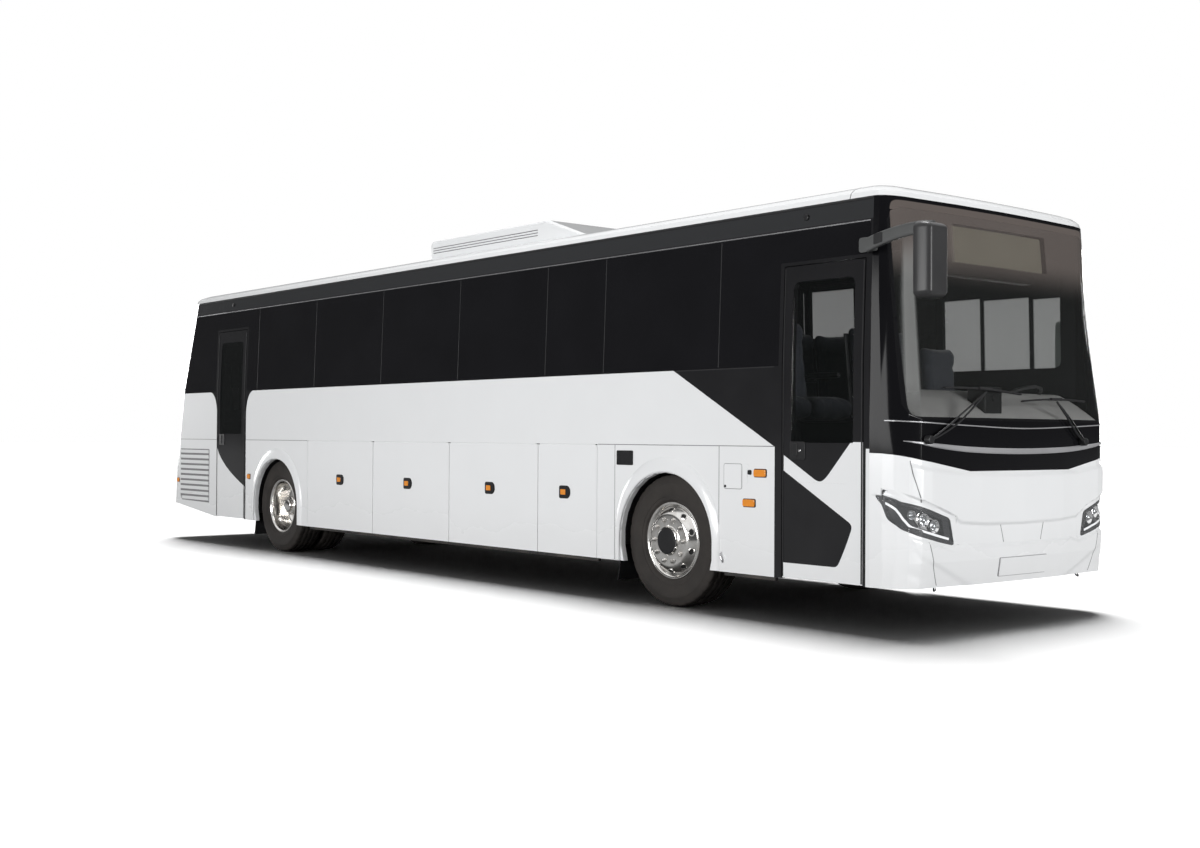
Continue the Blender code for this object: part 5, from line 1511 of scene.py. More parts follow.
@dataclass
class Doors:
    """Panes, seals and handles of the two passenger doors."""

    pane_z: Span = (1.02, 2.44)
    stile: float = 0.085
    gap: float = 0.007

    def build(self, shop: Workshop) -> None:
        """Builds both doors."""
        for word, span, coat in (
            ("front", FRONT_DOOR, shop.finishes.front_door), ("rear", REAR_DOOR, shop.finishes.rear_door)
        ):
            low, high = span[0] + self.gap + self.stile, span[1] - self.gap - self.stile
            body = f"{word}_door"
            split = 1.30 if word == "front" else 1.34
            lower = fine_outline(corners((low, high), (self.pane_z[0], split)), 0.008, 3, 0.06)
            upper = fine_outline(corners((low, high), (split + 0.001, self.pane_z[1])), 0.008, 3, 0.06)
            shop.piece(
                f"{word}_door_panel", on_side(inset(lower, 0.0002), Side.RIGHT, -0.020, 0.0199), coat, body
            )
            shop.piece(
                f"{word}_door_pane", on_side(inset(upper, 0.0006), Side.RIGHT, -0.009, 0.0085, 0.001),
                shop.finishes.door_glass[word], body
            )
            edges = [
                line_on_side([(x, 0.345), (x, 2.54)], Side.RIGHT, 0.012, 0.004, 6)
                for x in (span[0] + self.gap + 0.008, span[1] - self.gap - 0.008)
            ]
            shop.piece(f"{word}_door_seals", edges, shop.finishes.rubber_trim, body)
            self.lock(shop, word, span[0] + 0.1545, 1.243 if word == "front" else 1.27)

    def lock(self, shop: Workshop, word: str, x: float, z: float) -> None:
        """A lock plate with a paddle and a key barrel."""
        ring = round_box_outline((x - 0.0715, x + 0.0715), (z - 0.064, z + 0.064), 0.014)
        base = on_side(ring, Side.RIGHT, -0.0005, 0.007, 0.003)
        paddle = box_on_side((x - 0.040, x + 0.002), (z - 0.045, z + 0.050), 0.010, Side.RIGHT, 0.005, 0.007, 0.003)
        shop.piece(f"{word}_door_lock", [base, paddle], shop.finishes.satin, f"{word}_door")
        barrel = plate(circle(0.010, 16), (x + 0.025, -HALF_WIDTH - 0.006, z), (1, 0, 0), (0, 0, 1), 0.006, 0.001)
        shop.piece(f"{word}_door_key", barrel, shop.finishes.chrome, f"{word}_door")


@dataclass
class NoseTrim:
    """What stands on the nose: headlamps, trim lines, wipers, sensor, plate and bumper form."""

    lamp_edge: tuple[Span, ...] = ((0.72, 0.61), (1.08, 0.72), (1.262, 0.77), (1.262, 1.00), (1.10, 0.93), (0.76, 0.81))
    lamp_seen: tuple[Span, ...] = (
        (0.768, 0.607), (0.932, 0.638), (1.10, 0.680), (1.195, 0.722), (1.245, 0.785), (1.268, 0.935), (1.268, 0.968),
        (1.209, 0.914), (1.059, 0.872), (0.814, 0.795)
    )
    lamp_middle: Span = (1.02, 0.775)
    hook: tuple[Span, ...] = (
        (1.256, 0.905), (1.234, 0.878), (1.209, 0.837), (1.180, 0.780), (1.139, 0.738), (1.00, 0.696), (0.827, 0.655)
    )

    def build(self, shop: Workshop) -> None:
        """Builds the nose."""
        self.trim_lines(shop)
        self.bumper(shop)
        self.plate(shop)
        self.wipers(shop)
        self.sensor(shop)
        self.cowl(shop)
        self.display(shop)
        for side in Side:
            self.headlamp(shop, side)

    def trim_lines(self, shop: Workshop) -> None:
        """The thin upper line and the thick tapered lower curve on the black mask."""
        f = shop.finishes
        upper = NOSE.strip(
            [
                (-1.255, 1.452), (-1.10, 1.443), (-0.66, 1.425), (0.0, 1.408), (0.66, 1.425), (1.10, 1.443),
                (1.255, 1.452)
            ],
            0.008, 0.003, 140
        )
        shop.piece("mask_upper_line", upper, f.mask_trim)
        count = 90
        t = np.linspace(-1.0, 1.0, count)
        width = 0.006 + 0.034 * np.clip(1.0 - np.abs(t) ** 3, 0.0, 1.0)
        lower = NOSE.strip(
            [(-1.19, 1.316), (-0.93, 1.284), (-0.55, 1.257), (0.0, 1.246), (0.55, 1.257), (0.93, 1.284), (1.19, 1.316)],
            width, 0.010, count
        )
        shop.piece("mask_lower_line", lower, f.mask_trim)

    def bumper(self, shop: Workshop) -> None:
        """The seams between the front's panels, and the towing eyes under it."""
        f = shop.finishes
        keys = (
            [(1.158, 1.185), (1.146, 1.10), (1.125, 1.03), (1.089, 0.905)],
            [(1.024, 0.640), (0.984, 0.504), (0.950, 0.410), (0.922, 0.345)],
            [(0.262, 0.734), (0.248, 0.690), (0.236, 0.650), (0.226, 0.612)]
        )
        seams = [NOSE.strip([(s * y, z) for y, z in line], 0.0055, 0.0016, 24) for line in keys for s in (-1.0, 1.0)]
        shop.piece("bumper_seams", seams, f.groove)
        eyes = [
            sweep(
                smooth_path(
                    [
                        (5.735, s * 0.865, 0.345), (5.742, s * 0.865, 0.315), (5.735, s * 0.880, 0.300),
                        (5.722, s * 0.865, 0.315), (5.722, s * 0.865, 0.345)
                    ],
                    16
                ),
                circle(0.006, 8), (0.0, 1.0, 0.0)
            )
            for s in (-1.0, 1.0)
        ]
        shop.piece("towing_eyes", eyes, f.bright)

    def plate(self, shop: Workshop) -> None:
        """The blank number plate in its thin frame."""
        f = shop.finishes
        edge = fine_outline(corners((-0.285, 0.285), (0.374, 0.506)), 0.008, 3)
        holder = NOSE.panel(edge, -0.001, 0.008, 0.002)
        shop.piece("plate_holder", holder, f.mask_trim)
        blank = NOSE.panel(fine_outline(corners((-0.281, 0.281), (0.378, 0.502)), 0.006, 3), 0.004, 0.006, 0.001)
        shop.piece("plate_blank", blank, f.paint)

    def wipers(self, shop: Workshop) -> None:
        """Two wipers with twin-bar arms, both resting towards the middle."""
        arms, blades = [], []
        for pivot, tip, far in (
            ((-1.05, 1.325), (-0.43, 1.655), (0.30, 1.60)), ((0.78, 1.315), (0.42, 1.600), (-0.25, 1.575))
        ):
            for drop in (0.0, 0.035):
                ys = np.linspace(pivot[0], tip[0], 20)
                zs = np.linspace(pivot[1], tip[1], 20) - drop * np.sin(np.linspace(0.2, math.pi, 20))
                path = NOSE.at(ys, zs, 0.035)
                arms.append(sweep(path, circle(0.007, 8), NOSE.normal(ys, zs)))
            base = NOSE.at(np.array(pivot[0]), np.array(pivot[1]), 0.0)
            arms.append(plate(circle(0.030, 20), base, (0, 1, 0), (0, 0, 1), 0.05, 0.008))
            span = np.linspace(-0.42, 0.42, 30)
            ys = tip[0] + span * (1 if far[0] > tip[0] else -1)
            zs = tip[1] + (far[1] - tip[1]) * span * 0.6 + 0.02 * np.cos(span * 3.0)
            section = np.array(
                [(-0.004, -0.014), (-0.007, 0.006), (-0.004, 0.012), (0.004, 0.012), (0.007, 0.006), (0.004, -0.014)]
            )
            blades.append(sweep(NOSE.at(ys, zs, 0.016), section, NOSE.normal(ys, zs)))
            blades.append(
                sweep(NOSE.at(ys[12:18], zs[12:18], 0.030), circle(0.011, 8), NOSE.normal(ys[12:18], zs[12:18]))
            )
        shop.piece("wiper_arms", arms, shop.finishes.satin)
        shop.piece("wiper_blades", blades, shop.finishes.rubber_trim)

    def sensor(self, shop: Workshop) -> None:
        """The camera box behind the glass, low in the middle."""
        box = block((5.60, 5.75), (-0.33, -0.12), (1.475, 1.70), 0.012)
        lens = plate(circle(0.022, 20), (5.748, -0.225, 1.62), (0, 1, 0), (0, 0, 1), 0.012, 0.003)
        shop.piece("screen_camera", [box, lens], shop.finishes.satin)

    def cowl(self, shop: Workshop) -> None:
        """The pale top of the dashboard: a rounded ridge that follows the foot of the glass.

        Each (depth, Z) point lies that far behind the skin at its height, all across the coach.
        """
        section = np.array(
            [
                (0.035, 1.478), (0.10, 1.530), (0.18, 1.590), (0.26, 1.640), (0.32, 1.672), (0.36, 1.680),
                (0.385, 1.665), (0.39, 1.478)
            ]
        )
        ys = np.linspace(-1.13, 1.13, 60)[:, None]
        depths, zs = section.T
        points = xyz(NOSE.x(ys, zs) - depths, ys, zs)
        shop.piece("dash_cowl", grid(points, wrap_v=True, caps=True), shop.finishes.cowl, sharp=50.0)

    def display(self, shop: Workshop) -> None:
        """The blank destination display behind the top of the windscreen."""
        case = block((5.42, 5.51), (-0.62, 0.62), (2.50, 2.85), 0.01)
        shop.piece("display_case", case, shop.finishes.satin)
        face = NOSE.panel(fine_outline(corners((-0.555, 0.555), (2.57, 2.83)), 0.012), -0.040, 0.006, 0.001)
        shop.piece("display_face", face, shop.finishes.display)

    def inlay(self, points: Sequence[Span], side: Side, depth: float, thick: float, corner: float = 0.012) -> Shape:
        """A plate inside the lamp, that deep behind the skin.

        Args:
            points: its outline on the right-hand lamp, as (Y without its sign, Z).
            side: which lamp.
            depth: how far its inner face lies behind the skin.
            thick: its thickness.
            corner: how much its corners are rounded.
        """
        outline = np.asarray(points, float) * (side.value, 1.0)
        return NOSE.panel(fine_outline(outline, corner, 4, 0.03), -depth, thick, min(0.003, thick / 2.2))

    def reach(self, outline: Array, turns: Array) -> Array:
        """How far an outline lies from the lamp's middle in each direction.

        Along each side the distance is cross(p, q - p) / cross(d, q - p); of the sides that a
        direction d meets, the outermost counts.
        """
        p = outline - self.lamp_middle
        step = np.roll(p, -1, axis=0) - p
        d = np.stack([np.cos(turns), np.sin(turns)], axis=1)[:, None]
        below = d[..., 0] * step[:, 1] - d[..., 1] * step[:, 0]
        below = np.where(np.abs(below) < 1e-9, 1e-9, below)
        far = (p[:, 0] * step[:, 1] - p[:, 1] * step[:, 0]) / below
        along = (p[:, 0] * d[..., 1] - p[:, 1] * d[..., 0]) / below
        return np.max(np.where((along >= -1e-6) & (along <= 1.0 + 1e-6), far, 0.0), axis=1)

    def ring(self, near: Array, far: Array, turns: Array, side: Side, lift: float) -> Shape:
        """A thin band on the skin between two distances from the lamp's middle."""
        way = np.stack([np.cos(turns), np.sin(turns)], axis=1)
        mids = [near + (far - near) * share for share in (0.0, 0.33, 0.67, 1.0)]
        rows = np.stack([self.lamp_middle + way * r[:, None] for r in (mids + mids[::-1])])
        lifts = np.array([lift - 0.004] * 4 + [lift] * 4)
        return grid(NOSE.at(rows[..., 0] * side.value, rows[..., 1], lifts[:, None]), wrap_u=True, wrap_v=True)

    def headlamp(self, shop: Workshop, side: Side) -> None:
        """A headlamp: clear lens, black frame, chrome reflectors, daylight line and bright foot.

        The lens keeps its own outline; a white band fills the pocket round it, and a black band
        carries on its ground where it laps over the panel.
        """
        s, f = side.value, shop.finishes
        pocket = np.asarray(self.lamp_edge)
        seen = fine_outline(self.lamp_seen, 0.03, 5, 0.03)
        turns = np.arange(180) * math.tau / 180
        hole, lens = self.reach(pocket, turns), self.reach(seen, turns)
        fill = self.ring(lens - 0.001, np.maximum(hole, lens) + 0.006, turns, side, 0.0007)
        shop.piece(f"headlamp_fill_{side.word}", fill, f.paint)
        ground = self.ring(np.minimum(hole, lens) - 0.004, lens, turns, side, 0.0012)
        ring = seen * (s, 1.0)
        shop.piece(
            f"headlamp_lens_{side.word}", NOSE.panel(ring, 0.0014, 0.0045, 0.002), f.clear,
            replaces=[f"headlamp_{side.word}"]
        )
        pocket_ring = fine_outline(pocket * (s, 1.0), 0.02, 4, 0.03)
        frame_bars = [
            self.inlay([(0.785, 0.635), (0.85, 0.650), (0.88, 0.800), (0.815, 0.785)], side, 0.030, 0.020),
            self.inlay(
                [
                    (0.82, 0.765), (1.06, 0.840), (1.20, 0.885), (1.255, 0.935), (1.255, 0.965), (1.20, 0.912),
                    (1.05, 0.868), (0.82, 0.794)
                ],
                side, 0.016, 0.012
            )
        ]
        back = NOSE.panel(pocket_ring, -0.062, 0.008, 0.0)
        shop.piece(
            f"headlamp_bezel_{side.word}", [back, self.rim(pocket_ring), ground, *frame_bars], f.lamp_black,
        )
        chrome = [
            self.inlay(
                [(0.90, 0.690), (1.08, 0.735), (1.13, 0.800), (1.08, 0.840), (0.92, 0.790)], side, 0.052, 0.014, 0.03
            )
        ]
        bowls, balls = self.reflectors(side)
        shop.piece(f"headlamp_bowls_{side.word}", [*chrome, *bowls], f.chrome)
        shop.piece(f"headlamp_projectors_{side.word}", balls, f.bowl)
        path = smooth_path([(y * s, z, 0.0) for y, z in self.hook], 60)[:, :2]
        lift = np.interp(np.linspace(0, 1, 60), [0.0, 0.45, 1.0], [-0.008, -0.004, 0.0016])
        middle = NOSE.at(path[:, 0], path[:, 1], lift)
        bar = sweep(
            middle, round_box_outline((-0.008, 0.008), (-0.0012, 0.0022), 0.001, 2), NOSE.normal(path[:, 0], path[:, 1])
        )
        shop.piece(f"daylight_line_{side.word}", bar, f.daylight)

    def reflectors(self, side: Side) -> tuple[list[Shape], list[Shape]]:
        """Dished rings and their domes: rows (radius, height) turned round the skin's normal."""
        bowls, balls = [], []
        turn = np.arange(24) * math.tau / 24
        for y, z, r in ((0.945, 0.742, 0.047), (1.048, 0.785, 0.047), (1.142, 0.822, 0.030)):
            at, height = np.array(side.value * y), np.array(z)
            centre, out = NOSE.at(at, height, -0.045), NOSE.normal(at, height)
            across = np.cross((0.0, 0.0, 1.0), out)
            across /= np.linalg.norm(across)
            disc = across * np.cos(turn)[:, None] + np.cross(out, across) * np.sin(turn)[:, None]
            rows = np.array(
                [(0.55, 0.0), (0.75, 0.004), (1.0, 0.022), (1.0, 0.026), (0.93, 0.026), (0.70, 0.010), (0.55, 0.006)]
            ) * (r, 1.0)
            bowls.append(
                grid(centre + rows[:, None, :1] * disc[None] + rows[:, None, 1:] * out, wrap_u=True, wrap_v=True)
            )
            u = np.linspace(0.0, math.pi / 2, 8)
            dome = centre + (r * 0.56 * np.cos(u))[:, None, None] * disc[None] + (0.006 + 0.026 * np.sin(u))[
                :, None, None
            ] * out
            balls.append(grid(np.concatenate([centre + np.zeros((1, 24, 3)), dome]), wrap_v=True))
        return bowls, balls

    def rim(self, ring: Array) -> Shape:
        """The wall of the lamp's pocket: the outline as a thin closed band from the skin inwards."""
        near, far = inset(ring, 0.001), inset(ring, 0.010)
        rows = np.stack([near, near, far, far])
        lifts = np.array([-0.058, -0.004, -0.004, -0.058])
        points = NOSE.at(rows[..., 0], rows[..., 1], lifts[:, None])
        return grid(points, wrap_u=True, wrap_v=True)


@dataclass
class Mirrors:
    """The hanging right mirror and the upright left mirror."""

    right_centre: tuple[float, float, float] = (6.05, -1.33, 2.48)
    right_size: tuple[float, float, float] = (0.13, 0.23, 0.49)
    left_centre: tuple[float, float, float] = (5.30, 1.375, 2.05)
    left_size: tuple[float, float, float] = (0.10, 0.11, 0.46)
    arm_y: Span = (-1.343, -1.305)
    arm_half: float = 0.043

    def build(self, shop: Workshop) -> None:
        """Builds both mirrors in place of their solids."""
        self.head(shop, "right", self.right_centre, self.right_size)
        self.head(shop, "left", self.left_centre, self.left_size)
        self.right_arm(shop)
        left = smooth_path([(5.44, 1.2755, 1.72), (5.44, 1.335, 1.72), (5.33, 1.375, 1.76), (5.30, 1.375, 1.90)], 24)
        shop.piece(
            "mirror_arm_left", sweep(left, circle(0.022, 12), (0.3, 0.2, 1.0)), shop.finishes.mirror_arm,
        )

    def right_arm(self, shop: Workshop) -> None:
        """A deep flat arm with rounded edges, and near its root a black plate of painted shade where a recess would be.

        An oblong section, round at its corners, goes along a curve in the arm's middle plane.
        """
        keys = [(5.52, 2.628), (5.62, 2.656), (5.76, 2.684), (5.92, 2.700), (6.06, 2.700)]
        middle = smooth_path([(x, sum(self.arm_y) / 2, z) for x, z in keys], 40)
        half_y = (self.arm_y[1] - self.arm_y[0]) / 2
        taper = np.interp(np.linspace(0, 1, 40), [0.0, 0.5, 0.85, 1.0], [1.12, 1.0, 0.92, 0.75])
        section = round_box_outline((-1.0, 1.0), (-1.0, 1.0), 0.45, 4)
        rise = np.array([0.0, 0.0, 1.0])
        points = (
            middle[:, None] + section[None, :, :1] * half_y * np.array([0.0, 1.0, 0.0]) + section[None, :, 1:]
            * self.arm_half * taper[:, None, None] * rise
        )
        foot = plate(
            round_box_outline((5.455, 5.535), (2.58, 2.68), 0.02, 4), (0, self.arm_y[0] + 0.010, 0), (1, 0, 0),
            (0, 0, 1), 0.004, 0.001
        )
        stub = sweep(
            np.linspace((5.500, -1.215, 2.63), (5.500, -1.325, 2.63), 6),
            round_box_outline((-0.035, 0.035), (-0.035, 0.035), 0.015, 4), (0.0, 0.0, 1.0)
        )
        shop.piece(
            "mirror_arm_right", [grid(points, wrap_v=True, caps=True), foot, stub], shop.finishes.mirror_arm,
        )
        # Painted shade: the recess is not cut; a thin black plate on the arm's outer face stands for it.
        well = plate(
            fine_outline([(5.585, 2.620), (5.660, 2.634), (5.660, 2.703), (5.585, 2.692)], 0.012, 3),
            (0, self.arm_y[0] + 0.002, 0), (1, 0, 0), (0, 0, 1), 0.004, 0.001
        )
        shop.piece("mirror_arm_painted_shade", well, shop.finishes.satin)

    def head(self, shop: Workshop, word: str, centre: Sequence[float], size: Sequence[float]) -> None:
        """A rounded housing with glass on its rear face.

        Outlines that draw in towards the front are stacked along X.
        """
        (cx, cy, cz), (sx, sy, sz) = centre, size
        outline = round_box_outline((cy - sy / 2, cy + sy / 2), (cz - sz / 2, cz + sz / 2), 0.045, 5)
        shares = np.array([0.0, 0.10, 0.38, 0.62, 0.80, 0.92, 0.985])
        moves = np.array([0.008, 0.0, 0.0, 0.005, 0.014, 0.026, 0.040])
        rings = np.stack([inset(outline, m * min(1.0, sy / 0.18)) for m in moves])
        x = (cx - sx / 2 + shares * sx)[:, None]
        points = xyz(x, rings[..., 0], rings[..., 1])
        shell = grid(points, wrap_v=True, caps=True)
        shop.piece(
            f"mirror_shell_{word}", shell, shop.finishes.mirror_shell, sharp=70.0,
            replaces=[f"mirror_{word}"]
        )
        z_cut = cz + sz * 0.24
        glass = [
            plate(
                round_box_outline((-(cy + sy / 2 - 0.014), -(cy - sy / 2 + 0.014)), (low, high), 0.025, 4),
                (cx - sx / 2 + 0.001, 0, 0), (0, -1, 0), (0, 0, 1), 0.004, 0.001
            ) for low,
            high in ((cz - sz / 2 + 0.014, z_cut - 0.006), (z_cut + 0.006, cz + sz / 2 - 0.014))
        ]
        shop.piece(f"mirror_glass_{word}", glass, shop.finishes.mirror_glass)


@dataclass
class Wheels:
    """Tyres with tread, polished rims, hubs and nuts."""

    face_y: float = 1.215
    tyre_w: float = 0.295
    tyre_r: float = 0.522
    pitch: float = 0.325
    nuts: int = 10
    nut_r: float = 0.1675
    holes: int = 10
    hole_stretch: float = 1.25
    tread_half: float = 0.118
    grooves: tuple[float, ...] = (-0.078, -0.027, 0.027, 0.078)
    groove_half: float = 0.0065
    groove_depth: float = 0.013
    sipe_step: int = 6
    sipe_depth: float = 0.007
    shoulder: float = 0.085
    lug_depth: float = 0.006
    lug_from: float = 0.497
    steps: int = 96
    front: tuple[Span, ...] = (
        (0.0, 0.1985), (0.060, 0.1985), (0.098, 0.196), (0.108, 0.192), (0.1125, 0.184), (0.114, 0.176),
        (0.118, 0.1735), (0.196, 0.1725), (0.208, 0.170), (0.220, 0.163), (0.240, 0.1425), (0.256, 0.124),
        (0.264, 0.115), (0.270, 0.1135), (0.276, 0.119), (0.284, 0.127), (0.290, 0.1295), (0.300, 0.1295),
        (0.3035, 0.126), (0.302, 0.118), (0.2855, 0.1158), (0.2855, -0.1158), (0.302, -0.118), (0.302, -0.128),
        (0.286, -0.128), (0.270, -0.100), (0.266, 0.072), (0.222, 0.124), (0.200, 0.140), (0.112, 0.140),
        (0.104, 0.055), (0.0, 0.055)
    )

    def build(self, shop: Workshop) -> None:
        """Builds all wheels."""
        wheel_y = self.face_y - self.tyre_w / 2
        for side in Side:
            front = (FRONT_AXLE_X, side.value * wheel_y, AXLE_Z)
            outer = (REAR_AXLE_X, side.value * wheel_y, AXLE_Z)
            inner = (REAR_AXLE_X, side.value * (wheel_y - self.pitch), AXLE_Z)
            front_body, rear_body = f"front_wheel_{side.word}", f"rear_wheels_{side.word}"
            self.tyre(shop, f"front_tyre_{side.word}", front, side, front_body)
            self.tyre(shop, f"rear_outer_tyre_{side.word}", outer, side, rear_body)
            self.tyre(shop, f"rear_inner_tyre_{side.word}", inner, side, rear_body)
            self.front_rim(shop, side, front, front_body)
            self.rear_rim(shop, side, (REAR_AXLE_X, side.value * (wheel_y - self.pitch / 2), AXLE_Z), rear_body)

    def tyre(self, shop: Workshop, node: str, centre: Sequence[float], side: Side, body: str) -> None:
        """A tyre: a sidewall with raised rings, ribs cut by zigzag grooves and shoulder blocks.

        The tread's radius drops by the groove depth where the place across the tread, shifted by
        a triangle wave round the wheel, falls in a groove.
        """
        wall = [
            (0.2862, 0.1150), (0.296, 0.1175), (0.306, 0.1240), (0.318, 0.1350), (0.3205, 0.1385), (0.332, 0.1400),
            (0.346, 0.1415), (0.3475, 0.1440), (0.352, 0.1440), (0.3535, 0.1430), (0.400, 0.1462), (0.430, 0.1472),
            (0.432, 0.1475), (0.452, 0.1465), (0.454, 0.1440), (0.478, 0.1390), (0.498, 0.1330), (0.510, 0.1265)
        ]
        steps = 180
        t = np.arange(steps) * math.tau / steps
        across = np.linspace(self.tread_half, -self.tread_half, 25)
        zigzag = 0.0030 * (2 * np.abs(((np.arange(steps) / 5.0) % 1.0) - 0.5) * 2 - 1)
        place = across[:, None] + zigzag[None, :]
        near = np.min(np.abs(place[..., None] - np.array(self.grooves)), axis=-1)
        crown = self.tyre_r - 0.008 * (across / self.tread_half) ** 2
        cut = (np.arange(steps) % self.sipe_step) == 0
        sipes = cut & (np.abs(across)[:, None] > self.shoulder)
        radius = crown[:, None] - self.groove_depth * (near < self.groove_half) - self.sipe_depth * sipes
        walls = np.asarray(wall)
        lugs = self.lug_depth * cut * (walls[:, :1] > self.lug_from)
        left_r = walls[:, :1] - lugs
        radii = np.concatenate([left_r, radius, left_r[::-1]])
        heights = np.concatenate([walls[:, 1], across, -walls[::-1, 1]])
        points = xyz(radii * np.cos(t), heights[:, None] * side.value, radii * np.sin(t))
        shape = grid(points + np.asarray(centre), wrap_u=True, wrap_v=True)
        shop.piece(f"{node}_tread", shape, shop.finishes.rubber, body, 40.0, replaces=[node])

    def nut_ring(self, centre: Sequence[float], side: Side, height: float, radius: float) -> list[Shape]:
        """Ten hexagon nuts with washers and rounded caps on their circle."""
        s = side.value
        place = (centre[0] + radius, centre[1] + s * height, centre[2])
        nut = lathe(
            [(0.0, 0.028), (0.008, 0.0265), (0.0125, 0.021), (0.0150, 0.019), (0.0165, 0.0), (0.0, -0.002)], place, s, 6
        )
        washer = lathe([(0.0, 0.006), (0.0185, 0.006), (0.0205, 0.004), (0.0205, -0.001), (0.0, -0.001)], place, s, 16)
        return [around(nut, centre, self.nuts), around(washer, centre, self.nuts)]

    def front_rim(self, shop: Workshop, side: Side, centre: Sequence[float], body: str) -> None:
        """The bulging front rim with its hand holes closed by discs of painted shade, nuts and dark hub cap."""
        s = side.value
        rim = lathe(self.front, centre, s, self.steps)
        nuts = self.nut_ring(centre, side, 0.1725, self.nut_r)
        shop.piece(
            f"front_rim_face_{side.word}", [rim, *nuts], shop.finishes.alloy, body, 28.0,
            replaces=[f"front_rim_{side.word}"]
        )
        hole = (side, centre, (0.2405, 0.1430), (0.747, 0.664))
        disc = self.hand_holes(*hole, ((0.0, 0.0010), (0.0185, 0.0010), (0.0190, -0.004), (0.0, -0.004)), False)
        shop.piece(f"front_hand_holes_{side.word}", disc, shop.finishes.painted_hole_shade, body)
        ring = self.hand_holes(
            *hole,
            ((0.0180, 0.0), (0.0185, 0.0028), (0.0215, 0.0032), (0.0245, 0.0010), (0.0245, -0.004), (0.0180, -0.004)),
            True
        )
        shop.piece(f"front_hole_rings_{side.word}", ring, shop.finishes.alloy, body)
        cap = lathe(
            [
                (0.0, 0.2035), (0.060, 0.2030), (0.092, 0.2010), (0.102, 0.1980), (0.106, 0.1930), (0.106, 0.170),
                (0.0, 0.165)
            ],
            centre, s, 48
        )
        shop.piece(f"front_hub_cap_{side.word}", cap, shop.finishes.satin, body)

    def rear_rim(self, shop: Workshop, side: Side, centre: Sequence[float], body: str) -> None:
        """The deep twin rims with the drive hub in the middle."""
        s = side.value
        profile = (
            (0.0, 0.240), (0.040, 0.240), (0.060, 0.236), (0.070, 0.228), (0.074, 0.206), (0.100, 0.200),
            (0.108, 0.192), (0.114, 0.070), (0.120, 0.048), (0.190, 0.044), (0.204, 0.046), (0.232, 0.062),
            (0.252, 0.078), (0.262, 0.100), (0.266, 0.180), (0.270, 0.255), (0.278, 0.282), (0.290, 0.2925),
            (0.300, 0.2925), (0.3035, 0.289), (0.302, 0.2790), (0.2855, 0.2783), (0.2855, 0.0467), (0.302, 0.0467),
            (0.302, 0.0345), (0.280, 0.0200), (0.280, -0.0200), (0.302, -0.0345), (0.302, -0.0467), (0.2855, -0.0467),
            (0.2855, -0.2783), (0.302, -0.2790), (0.302, -0.2905), (0.286, -0.2905), (0.272, -0.060), (0.200, -0.035),
            (0.0, -0.035)
        )
        rim = lathe(profile, centre, s, self.steps)
        nuts = self.nut_ring(centre, side, 0.046, 0.155)
        flange = self.small_bolts(centre, side, 0.203)
        shop.piece(
            f"rear_rim_face_{side.word}", [rim, *nuts, flange], shop.finishes.alloy, body, 28.0,
            replaces=[f"rear_rims_{side.word}"]
        )
        # Painted shade: near-black discs in the hand holes.
        disc = self.hand_holes(
            side, centre, (0.230, 0.0620), (-0.50, 0.866),
            ((0.0, 0.0012), (0.0185, 0.0012), (0.0190, -0.004), (0.0, -0.004)), False
        )
        shop.piece(f"rear_hand_holes_{side.word}", disc, shop.finishes.painted_hole_shade, body)

    def hand_holes(
        self, side: Side, centre: Sequence[float], place: Span, out: Span, rows: Sequence[Span], is_ring: bool
    ) -> Shape:
        """A disc of painted shade or a ring over each hand hole, turned about the hole's axis and a quarter longer
        along the rim.

        Args:
            side: which side of the coach.
            centre: the wheel's middle.
            place: the hole's distance from the axle, and along it.
            out: the direction of the hole's axis, away from the axle and along it.
            rows: the section, as (radius, height).
            is_ring: whether the section runs round.

        Returns:
            All the holes of one wheel.
        """
        base = np.array([centre[0] + place[0], centre[1] + side.value * place[1], centre[2]])
        axis = np.array([out[0], side.value * out[1], 0.0])
        up = np.array([0.0, 0.0, 1.0])
        t = np.arange(20)[:, None] * math.tau / 20
        disc = np.cross(axis, up) * np.cos(t) + up * np.sin(t) * self.hole_stretch
        section = np.asarray(rows)[:, None]
        shape = grid(base + section[..., :1] * disc + section[..., 1:] * axis, wrap_u=is_ring, wrap_v=True)
        return around(shape, centre, self.holes, math.pi / self.holes)

    def small_bolts(self, centre: Sequence[float], side: Side, height: float) -> Shape:
        """Eight small bolts round the drive flange."""
        place = (centre[0] + 0.088, centre[1] + side.value * height, centre[2])
        bolt = lathe([(0.0, 0.009), (0.007, 0.008), (0.008, 0.0), (0.0, -0.001)], place, side.value, 6)
        return around(bolt, centre, 8, 0.2)


